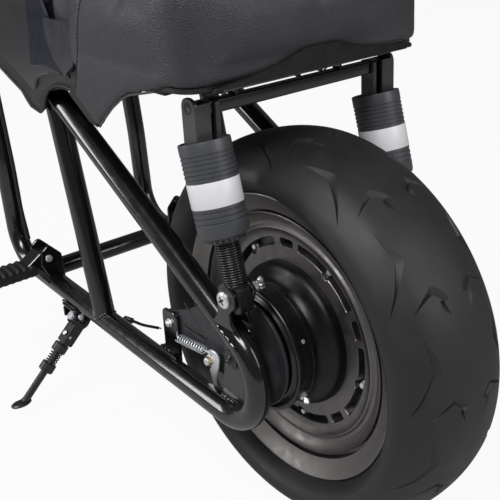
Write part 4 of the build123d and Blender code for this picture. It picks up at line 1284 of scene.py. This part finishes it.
# The seams are pressed into the skin, then a row of stitches is laid beside the side seam
def sewSeat(piece):
    tree = BVHTree.FromObject(piece, bpy.context.evaluated_depsgraph_get())
    sideSeam = seamLine(seat["seamBottom"], seat["seamTop"], 60)
    normals = [vertex.normal.copy() for vertex in piece.data.vertices]
    for vertex, normal in zip(piece.data.vertices, normals):
        x = (vertex.co.x - axleX) * 1000
        z = (vertex.co.z - groundZ) * 1000
        y = abs(vertex.co.y) * 1000
        inward = 0.0
        if y > 120 and z < 676:
            start, end = Vector(seat["seamBottom"]), Vector(seat["seamTop"])
            along = (end - start).normalized()
            offset = Vector((x, z)) - start
            away = abs(offset.x * along.y - offset.y * along.x)
            inward += 0.0014 * math.exp(-(away / 2.6) ** 2)
        if z > 655:
            for channelX in (40.0, 96.0, 152.0, 208.0):
                fade = min(1.0, max(0.0, (132 - y) / 10))
                inward += 0.0022 * math.exp(-((x - channelX) / 4.0) ** 2) * fade
            if y < 140 and 20 < x < 230:
                inward += 0.0022 * math.exp(-((y - 126) / 4.0) ** 2)
        if inward:
            vertex.co -= normal * inward
    places = []
    for side in (1, -1):
        ridge = []
        for x, z in sideSeam:
            hit, normal = onPad(tree, x - 3.6, z, side)
            if hit:
                ridge.append(hit + normal * 0.0001)
        length, previous = 0.0, ridge[0]
        marks = [ridge[0]]
        for point in ridge[1:]:
            length += (point - previous).length * 1000
            previous = point
            if length >= seat["stitch"]:
                marks.append(point)
                length = 0.0
        for start, end in zip(marks, marks[1:]):
            gap = (end - start).length * 1000
            if gap < seat["stitch"] * 2:
                outward, first, _ = turned(end - start)
                places.append((toPlan(start.lerp(end, 0.5)), outward, first, gap / seat["stitch"]))
    half = seat["stitch"] * 0.34
    stitch = Shape()
    tube(stitch, [(0, 0, -half), (0, 0, 0), (0, 0, half)], 0.62, 6)
    stitch.repeatPiece("seatStitches", "frame", "thread", places, sharp=60.0)


sewSeat(seatPad)

# Hem along the pad's lower edge, and the black base under it
plan = softened(seat["plan"], seat["planRadii"], 7)
hem = Shape()
flapEdge = softened(seat["flap"], seat["flapRadii"], 6)
lowerFlap = [point for point in flapEdge if point[1] < 552.5 and point[0] < 158]
for side in (1, -1):
    tube(hem, [Vector((x, side * 171.5, z + 0.4)) for x, z in lowerFlap], 1.3, 8, 0)
    back = softened([(186, 481), (206, 485.5), (250, 512), (244, 522), (225, 532), (197, 532)],
                    [3, 8, 4, 4, 3, 3], 5)
    sidePlate(hem, back, side, 160.0, 5.0, 1.2, 1)
hem.finishPiece("seatHem", "frame", ["hem", "thread"], sharp=60.0)

base = Shape()
for depth, high, low in ((6.0, 557.5, 550.5), (24.0, 552.0, 546.5)):
    ring = inset(plan, depth)
    levelPlate(base, ring, (0, 0, low), high - low, 1.2)
for x, y in ((-10.0, 120.0), (-10.0, -20.0), (-10.0, -120.0)):
    slab(base, softened([(-11, -5), (11, -5), (11, 5), (-11, 5)], 2.0, 3), (x + 18, y, 541.4), (0, 1, 0),
         (-1, 0, 0), 6.0, 0.8)
for side in (1, -1):
    levelPlate(base, softened([(-12, -10), (12, -10), (15, 10), (-15, 10)], 5.0, 3),
               (46.0, side * 152.0, 543.4), 10.0, 3.0)
tail = Shape()
tailOutline = softened([(-140, 551), (140, 551), (140, 556), (98, 560), (58, 567), (20, 577), (-20, 577),
                        (-58, 567), (-98, 560), (-140, 556)], [2, 2, 3, 20, 30, 14, 14, 30, 20, 3], 5)
slab(tail, tailOutline, (-26.4, 0, 0), (0, 1, 0), (0, 0, 1), 5.2, 1.2)
tube(tail, [Vector((-26.0, y, 551.6)) for y in range(-130, 131, 20)], 1.1, 8, 0)
tail.finishPiece("seatTail", "frame", ["motor"], sharp=40.0)
base.finishPiece("seatBase", "frame", ["plastic"], ["seat_pan"], "black_plastic")
print("seat ready")

# Body cover over the upper tubes, its side panels and the battery below it
cover = {
    "stations": [(312, 541, 640, 151.5), (366, 543, 692, 151.8), (420, 550, 738, 151.5),
                 (480, 570, 776, 148),
                 (540, 596, 798, 139), (596, 624, 804, 117), (648, 654, 798, 90)],
    "side": 60.0, "wall": 4.0,
    "cheek": [(262, 527), (293, 529), (318, 526.5), (337, 522), (352, 516), (358.5, 510), (363, 501),
              (370, 497), (378, 500), (401, 511), (434, 522), (480, 537), (503, 562), (503, 588),
              (312, 575), (262, 560)],
    "cheekRadii": [3, 20, 30, 20, 12, 10, 4, 5, 8, 30, 40, 20, 12, 6, 4, 3],
    "band": [(243, 505), (259, 512), (281, 515), (306, 512), (326, 505), (340, 493), (345, 486), (350, 475),
             (364, 467), (391, 471), (401, 478), (414, 489), (447, 501), (481, 514), (510, 545), (514, 570),
             (300, 560), (243, 560)],
    "bandRadii": [3, 20, 25, 25, 25, 14, 12, 5, 6, 8, 10, 12, 60, 24, 14, 5, 4, 3],
    "panel": [(226, 562), (232, 549), (259, 532.5), (282, 549), (297, 574), (297, 599.5), (226, 599.5)],
}


def coverSection(floorZ, roofZ, halfWidth, shrink):
    side = cover["side"]
    halfWidth -= shrink
    arc = []
    for step in range(5):
        arc.append((halfWidth, floorZ + side * step / 5))
    for step in range(37):
        angle = math.pi * step / 36
        reach = math.copysign(abs(math.cos(angle)) ** 0.82, math.cos(angle))
        rise = (roofZ - shrink - floorZ - side) * math.sin(angle) ** 0.9
        arc.append((halfWidth * reach, floorZ + side + rise))
    for step in range(5):
        arc.append((-halfWidth, floorZ + side * (4 - step) / 5))
    return arc


def smoothStations(stations, steps):
    rows = []
    for index in range(len(stations) - 1):
        before = stations[max(index - 1, 0)]
        after = stations[min(index + 2, len(stations) - 1)]
        for step in range(steps):
            share = step / steps
            values = []
            for a, b, c, d in zip(before, stations[index], stations[index + 1], after):
                values.append(0.5 * (2 * b + (c - a) * share + (2 * a - 5 * b + 4 * c - d) * share ** 2
                                     + (3 * b - a - 3 * c + d) * share ** 3))
            rows.append(values)
    rows.append(list(stations[-1]))
    return rows


shell = Shape()
rows = []
for x, floorZ, roofZ, halfWidth in smoothStations(cover["stations"], 6):
    outer = coverSection(floorZ, roofZ, halfWidth, 0.0)
    inner = coverSection(floorZ, roofZ, halfWidth, cover["wall"])[::-1]
    rows.append([Vector((x, y, z)) for y, z in outer + inner])
shell.grid(rows, 0, closeColumns=True)
half = len(rows[0]) // 2
for row in (rows[0], rows[-1]):
    shell.add(row, [(i, i + 1, 2 * half - 2 - i, 2 * half - 1 - i) for i in range(half - 1)])
for row, shift in ((rows[0], 2.0), (rows[-1], -2.0)):
    ring = [point + Vector((shift, 0, 0)) for point in row[:half]]
    second = [point + Vector((-shift * 0.6, 0, 0)) for point in ring]
    shrunk = [[Vector((p.x, p.y * 0.985, p.z - 1.0)) for p in each] for each in (ring, second)]
    shell.grid(shrunk, 0, closeColumns=True)
    shell.add(shrunk[0], [tuple(range(half))])
    shell.add(shrunk[1], [tuple(range(half))])
cheek = softened(cover["cheek"], cover["cheekRadii"], 6)
for side in (1, -1):
    sidePlate(shell, cheek, side, 152.8, 5.4, 1.8)
shell.finishPiece("bodyShell", "frame", ["gloss"], ["body_cover"], "cover_gloss", 40.0)

# Black band below the cheek, arched over the tube, with a rounded lip along its edge
edgeBand = Shape()
band = softened(cover["band"], cover["bandRadii"], 6)
for side in (1, -1):
    sidePlate(edgeBand, band, side, 149.6, 5.0, 1.4)
    lip = [Vector((x, side * 149.0, z + 0.6)) for x, z in band if z < 516 and 246 < x < 482]
    tube(edgeBand, lip, 2.2, 10, 0)
edgeBand.finishPiece("coverEdge", "frame", ["plastic"], sharp=50.0)

# The flank plate's darker, bluer paint is painted shade and painted reflection of the curving gloss cover
flank = Shape()
flankOutline = softened([(268, 529.5), (288, 533), (320, 536), (348, 532), (363, 531), (356, 566),
                         (347, 640), (312, 634), (290, 600), (290, 572)],
                        [3, 20, 20, 8, 6, 20, 14, 20, 20, 14], 6)
for side in (1, -1):
    sidePlate(flank, flankOutline, side, 155.4, 5.0, 2.2)
liner = softened([(200, 500), (259, 509), (300, 508), (335, 500), (335, 545), (200, 560)], 4.0)
for side in (1, -1):
    sidePlate(flank, liner, side, 146.0, 4.0, 1.0, 1)
flank.finishPiece("coverFlank", "frame", ["flank", "thread"])
for sideName, side in (("left", 1), ("right", -1)):
    panel = Shape()
    outline = softened(cover["panel"], [2.5, 4, 3, 6, 5, 2.5, 2.5], 5)
    sidePlate(panel, outline, side, 159.2, 6.8, 1.2)
    panel.finishPiece(sideName + "SidePanel", "frame", ["panel"], [sideName + "_side_panel"], "cover_gloss")

battery = Shape()
box = [(402, upperTubeZ(402) - 5), (558, upperTubeZ(558) - 5),
       (558, upperTubeZ(400) + 180), (402, upperTubeZ(400) + 138)]
sidePlate(battery, softened(box, 7.0, 5), 1, 108.0, 216.0, 3.0)
for side in (1, -1):
    for lift in (22.0, 38.0, 54.0):
        tube(battery, [(x, side * 107.6, upperTubeZ(x) + lift) for x in (418, 480, 542)], 1.6, 8)
battery.finishPiece("batteryBox", "frame", ["plastic"], ["battery_block"], "black_plastic")
print("cover ready")

# Brake at the left of the axle: anchor plate, stay, lever and return spring
brake = {
    "plateY": 99.0, "pivot": (64.0, 199.0), "stay": (160.0, 213.0), "lever": (68.5, 199.0),
    "embossed": [(86, 213), (131, 216), (131, 223), (86, 221)],
    "springStart": (134, 109.0, 203.0), "springEnd": (76, 109.0, 210.0),
}


def circlePoints(middle, radius, start, end, steps):
    return [(middle[0] + radius * math.cos(math.radians(start + (end - start) * step / steps)),
             middle[1] + radius * math.sin(math.radians(start + (end - start) * step / steps)))
            for step in range(steps + 1)]


anchor = Shape()
anchorOutline = (circlePoints((0, axleHeight), 66.0, 100, 262, 26)
                 + circlePoints(brake["pivot"], 17.0, 262, 300, 4)
                 + circlePoints(brake["stay"], 17.0, 300, 400, 10)
                 + circlePoints(brake["stay"], 17.0, 400, 458, 6)
                 + [(120, 246), (96, 262), (70, 282)])
sidePlate(anchor, anchorOutline, 1, brake["plateY"], 4.0, 0.8)
embossed = softened(brake["embossed"], 3.2, 5)
tube(anchor, [(x, brake["plateY"] + 0.2, z) for x, z in embossed + [embossed[0]]], 1.1, 8, softEnds=False)
sidePlate(anchor, inset(embossed, 2.6), 1, brake["plateY"] + 0.6, 1.0, 0.3)
ridge = [(128, 252), (112, 236), (96, 228), (84, 214), (72, 221), (40, 224)]
tube(anchor, bent([Vector((x, 99.1, z)) for x, z in ridge], [10, 14, 12, 8], 5), 0.9, 8, 0)
lathe(anchor, [(8.2, 98.8), (13.0, 98.8), (13.0, 111.6), (8.2, 111.6)], (0, 0, axleHeight), sides=32)
anchor.finishPiece("brakeAnchorPlate", "frame", ["anchor"], ["brake_anchor_plate"], "satin_steel")

stay = Shape()
footZ = lowerTubeZ(brake["stay"][0])
stayOutline = softened([(143, footZ + 4), (177, footZ + 4), (177, 230), (143, 230)], [1, 1, 10, 10], 6)
sidePlate(stay, stayOutline, 1, 104.4, 5.0, 1.2)
stayFoot = softened([(143, footZ - 9), (177, footZ - 9), (177, footZ + 10), (143, footZ + 10)], 1.0)
sidePlate(stay, stayFoot, 1, 112.0, 12.0, 1.0)
straightWeld(stay, (143.0, 110.5, footZ + 9.5), (177.0, 110.5, footZ + 9.5), 16, 2.0, 0.6, 2.0)
stay.finishPiece("brakeStay", "frame", ["frame"], ["brake_stay"], "frame_paint")

stayBolt = Shape()
place = Vector((160, 104.4, 213))
washer(stayBolt, place, (0, 1, 0), 6.0, 1.0)
hexHead(stayBolt, place + Vector((0, 1.0, 0)), (0, 1, 0), 9.0, 3.2, 0, 0.25)
ball(stayBolt, place + Vector((0, 4.2, 0)), 3.2, 16, 0, 0.45)
hexHead(stayBolt, Vector((160, 94.8, 213)), (0, -1, 0), 9.0, 4.6, 0, 0.1)
stayBolt.finishPiece("brakeStayBolt", "frame", ["zinc"], ["brake_stay_bolt"], "zinc")

# Lever: a plate hooked over the pivot, running down to a point
lever = Shape()
leverOutline = softened([(75, 210), (64, 216), (54, 216), (48, 210), (51, 196), (57, 180), (60, 165),
                         (64, 166), (67, 177), (70, 186), (64, 194), (60, 202), (63, 209), (70, 208)],
                        [2, 6, 6, 6, 8, 8, 2, 2, 6, 3, 4, 4, 3, 1], 4)
sidePlate(lever, leverOutline, 1, 108.6, 2.6, 0.6)
leverX, leverZ = brake["lever"]
hexHead(lever, (leverX, 108.0, leverZ), (0, 1, 0), 11.0, 5.0, 1, 0.2)
washer(lever, (leverX, 106.0, leverZ), (0, 1, 0), 7.6, 2.4)
lathe(lever, [(0.0, 99.0), (5.0, 99.0), (5.0, 113.6), (4.2, 114.2), (0.0, 114.2)], (leverX, 0, leverZ),
      (0, 1, 0), 20, opened=True)
lever.finishPiece("brakeLever", "frame", ["zinc", "brass"], ["brake_lever"], "zinc")

returnSpring = Shape()
start, end = Vector(brake["springStart"]), Vector(brake["springEnd"])
coil(returnSpring, start, end, 5.2, 0.85, 11, 0, 8, 18)
for middle, steps, radii in ((start, [(10, -5, 3), (5, -1, 0), (0, 0, 0), (-3, 2, 4)], [3, 2]),
                             (end, [(3, 2, 4), (0, 0, 0), (-6, -1, -1), (-10, -2, -5)], [3, 3])):
    tube(returnSpring, bent([middle + Vector(step) for step in steps], radii, 4), 0.85, 8)
returnSpring.finishPiece("brakeReturnSpring", "frame", ["zinc"], ["brake_return_spring"], "zinc", 50.0)

rod = Shape()
rodPath = [Vector(point)
           for point in ((299, 113, 162), (284, 104, 170), (272, 95, 166), (270, 84, 157), (258, 64, 149))]
tube(rod, bent(rodPath, [8, 30, 30], 6), 2.1, 12)
tube(rod, [rodPath[-1], rodPath[-1] + (rodPath[-1] - rodPath[-2]).normalized() * 3.5], 1.2, 10, 1)
tube(rod, [rodPath[1], rodPath[1].lerp(rodPath[2], 0.9)], 3.6, 14, flat=1.2)
rod.finishPiece("brakeRodEnd", "frame", ["plastic", "brass"], sharp=50.0)


# The line where a round tube's end meets another tube, for the weld beads of the frame
def saddle(foot, direction, radius, other, otherDirection, otherRadius, samples=36):
    direction, otherDirection = Vector(direction).normalized(), Vector(otherDirection).normalized()
    _, first, second = turned(direction)
    ring = []
    for sample in range(samples + 1):
        angle = 2 * math.pi * sample / samples
        edge = Vector(foot) + (first * math.cos(angle) + second * math.sin(angle)) * radius
        offset = (edge - Vector(other)).cross(otherDirection)
        slope = direction.cross(otherDirection)
        a, b = slope.dot(slope), 2 * offset.dot(slope)
        c = offset.dot(offset) - (otherRadius + 0.3) ** 2
        root = b * b - 4 * a * c
        reach = (-b - math.sqrt(max(root, 0.0))) / (2 * a)
        ring.append(edge + direction * reach)
    return ring


lowerDirection = Vector((1, 0, frameTubes["lowerSlope"]))
upperDirection = Vector((1, 0, frameTubes["upperSlope"]))
beads = Shape()
for side in (1, -1):
    y = side * frameTubes["y"]
    tubeStart = Vector((frameTubes["startX"], y, frameTubes["startZ"]))
    strutFoot, strutHead = Vector((301, y, 170.5)), Vector((370.5, y, 493.6))
    strutMiddle = (strutFoot + strutHead) / 2
    strutDirection = (strutHead - strutFoot).normalized()
    for ring in (
        saddle(strutMiddle, strutDirection, 15, tubeStart, upperDirection, 15),
        saddle(strutMiddle, -strutDirection, 15, tubeStart, lowerDirection, 15),
        saddle(Vector((499, 0, lowerTubeZ(499))), Vector((0, side, 0)), 14, tubeStart, lowerDirection, 15),
    ):
        weldBead(beads, ring, 2.1, 8)
    start, end = [(x, side * 120.6, lowerTubeZ(x) + 14.6) for x in (30.0, -3.6)]
    straightWeld(beads, start, end, 8, 2.6, side * 0.5, sides=8)
beads.finishPiece("frameWelds", "frame", ["frame"], sharp=60.0)
print("brake ready")

# Side stand: a folded channel on a leaning pin, two collars with a coil between, a leg and a flat foot
stand = {"pivot": (384.0, 128.0, 138.0), "lift": 44.0, "legEnd": (9.0, 147.0)}
standRight = Vector((1, 0, 0))
lift = math.radians(stand["lift"])
standOut = Vector((0, math.sin(lift), -math.cos(lift)))
standPin = Vector((0, math.cos(lift), math.sin(lift)))
pivot = Vector(stand["pivot"])
legWay = (standRight * stand["legEnd"][0] + standOut * stand["legEnd"][1]).normalized()
legSide = legWay.cross(standPin).normalized()

leg = Shape()
cheekOutline = softened([(-11, -11), (11, -11), (11, 42), (-11, 42)], [10, 10, 3, 3], 7)
for level in (5.9, -8.0):
    slab(leg, cheekOutline, pivot + standPin * level, -legSide, legWay, 2.1, 0.5)
webAcross = softened([(-7.8, 2), (7.8, 2), (7.8, 42), (-7.8, 42)], 1.0)
slab(leg, webAcross, pivot - legSide * 8.9, standPin, legWay, 2.1, 0.4)
roundBar(leg, pivot, legWay, 5.5, 40.0, 143.0, 24)
for start in (44.0, 78.0):
    lathe(leg, [(5.0, start), (10.4, start), (11.5, start + 1.2), (11.5, start + 12.4),
                (10.4, start + 13.6), (5.0, start + 13.6)],
          pivot, legWay, 28, 0)
foot = pivot + legWay * 146.0
footPlan = [(9.2 * math.sin(2 * math.pi * step / 28), 16.0 * math.cos(2 * math.pi * step / 28))
            for step in range(28)]
levelPlate(leg, footPlan, (foot.x, foot.y + 5.5, foot.z - 3.4), 4.8, 1.6)
tube(leg, [pivot + legWay * 120, pivot + legWay * 140, foot + Vector((0, 2.0, 0.4))], 5.5, 16)
leg.finishPiece("standLeg", "side_stand_leg", ["stand"], ["side_stand"], "stand_black")

rivetHead = [(0, 0), (4.3, 0), (4.3, 0.7), (3.6, 1.6), (2.0, 2.1), (0, 2.2)]
rivet = Shape()
lathe(rivet, rivetHead, (0, 0, 0), (0, 0, 1), 20, opened=True)
rivet.repeatPiece("standRivets", "side_stand_leg", "zinc", [
    (pivot + legWay * 27 + standPin * 8.0 - legSide * 0.5, standPin, legSide, 1.0),
    (pivot + legWay * 29 - legSide * 8.9 + standPin * 2.0, -legSide, standPin, 1.0),
])

standCoil = Shape()
coil(standCoil, pivot + legWay * 57.6, pivot + legWay * 78.2, 8.2, 0.95, 4.5, 0, 8, 20)
standCoil.finishPiece("standCoil", "side_stand_leg", ["satin"], ["side_stand_spring"], "zinc", 50.0)

ears = Shape()
earOutline = softened([(-11, -24), (11, -24), (11, 11), (-11, 11)], [2, 2, 10.5, 10.5], 7)
for level in (8.6, -13.1):
    slab(ears, earOutline, pivot + standPin * level, standRight, standOut, 4.5, 0.8)
levelPlate(ears, softened([(-21, -10), (21, -10), (21, 14), (-21, 14)], 2.0), Vector((384, 128, 160.0)),
           4.0, 0.8)
slab(ears, softened([(-9, -9), (12, -9), (12, 7), (-9, 7)], 2.0), (399.6, 130, 151), (0, 1, 0), (0, 0, 1),
     3.4, 0.6)
straightWeld(ears, (363.0, 139.5, 166.6), (405.0, 139.5, 166.6), 18, 2.0, 0.6)
ears.finishPiece("standBracket", "frame", ["frame"], ["stand_bracket"], "frame_paint")

standPinPiece = Shape()
hexHead(standPinPiece, pivot + standPin * 13.1, standPin, 13.0, 4.6, 0, 0.2)
roundBar(standPinPiece, pivot, standPin, 4.95, -13.1, 13.1)
hexHead(standPinPiece, pivot - standPin * 13.1, -standPin, 13.0, 4.0, 0, 0.4)
crossScrew(standPinPiece, Vector((364.8, 133, 151)), (-1, 0, 0), 4.2, 2.2, 0, 0)
standPinPiece.finishPiece("standPin", "frame", ["zinc"])

# Foot pegs: rubber over a bar, hinged between the two sides of a folded bracket
peg = {
    "x": 470.0, "y": 133.0, "z": 219.0, "drop": 14.0, "start": 20.0, "end": 102.0, "steps": 82, "sides": 40,
    "halfWidth": 20.6, "halfHeight": 11.4, "ribSpacing": 11.0, "ribHeight": 2.4,
    "tongue": [(-9, -10), (6, -10), (30, -24), (34, -24), (34, -6), (10, 9.5), (-9, 9.5)],
    "cheek": [(-24, -44), (-4, -46), (3, -30), (13, -8), (10, 12), (-3, 22), (-22, 2)],
}


# A plate's outline in y and z, turned over for the right side of the machine
def mirrored(outline, side):
    return outline if side > 0 else [(-y, z) for y, z in outline][::-1]


for sideName, side in (("left", 1), ("right", -1)):
    hinge = Vector((peg["x"], side * peg["y"], peg["z"]))
    rubber = Shape()
    rows = []
    for step in range(peg["steps"] + 1):
        along = peg["start"] + (peg["end"] - peg["start"]) * step / peg["steps"]
        endShare = min(1.0, (step + 1.2) / 5, (peg["steps"] + 1.2 - step) / 5)
        swell = math.sqrt(max(0.05, 1 - (1 - endShare) ** 2))
        rib = 0.5 + 0.5 * math.cos(2 * math.pi * along / peg["ribSpacing"])
        ring = []
        for part in range(peg["sides"]):
            angle = 2 * math.pi * part / peg["sides"]
            across = math.copysign(abs(math.cos(angle)) ** 0.45, math.cos(angle)) * peg["halfWidth"]
            lift = math.copysign(abs(math.sin(angle)) ** 0.6, math.sin(angle)) * peg["halfHeight"]
            ripple = rib * peg["ribHeight"] * abs(math.sin(angle)) ** 0.5 * (1 if lift > 0 else 0.4)
            lift -= math.copysign(ripple, lift) if abs(lift) > 0.5 else 0.0
            ring.append(hinge
                        + Vector((across * (0.9 + 0.1 * swell), side * along, lift * swell - peg["drop"])))
        rows.append(ring)
    rubber.grid(rows, 0, closeColumns=True)
    for row in (rows[0], rows[-1]):
        rubber.add(row, [tuple(range(peg["sides"]))])
    tongue = mirrored(softened(peg["tongue"], [8, 6, 3, 2, 4, 6, 8], 6), side)
    slab(rubber, tongue, hinge - Vector((15.0, 0, 0)), (0, 1, 0), (0, 0, 1), 30.0, 1.0, 1)
    rubber.finishPiece(sideName + "Peg", sideName + "_peg", ["rubber", "frame"], [sideName + "_foot_peg"],
                       "peg_rubber")

    holder = Shape()
    cheekShape = mirrored(softened(peg["cheek"], [4, 4, 6, 7, 8, 8, 8], 6), side)
    for shift in (-20.2, 15.6):
        slab(holder, cheekShape, hinge + Vector((shift, 0, 0)), (0, 1, 0), (0, 0, 1), 4.5, 0.8)
    for weldY, weldZ in ((138.4, 180.0), (111.4, 186.0)):
        start, end = [(peg["x"] + x, side * weldY, weldZ) for x in (-21.0, 21.0)]
        straightWeld(holder, start, end, 18, 2.2, side * 0.5, 2.3)
    holder.finishPiece(sideName + "PegBracket", "frame", ["frame"], [sideName + "_peg_bracket"],
                       "frame_paint")
    pin = Shape()
    roundBar(pin, hinge, (1, 0, 0), 3.95, -20.4, 20.4)
    washer(pin, hinge - Vector((20.2, 0, 0)), (-1, 0, 0), 5.6, 0.9, 0, 24)
    hexHead(pin, hinge - Vector((21.1, 0, 0)), (-1, 0, 0), 9.0, 3.4, 0, 0.3)
    pin.finishPiece(sideName + "PegPin", "frame", ["zinc"])
print("stand and pegs ready")
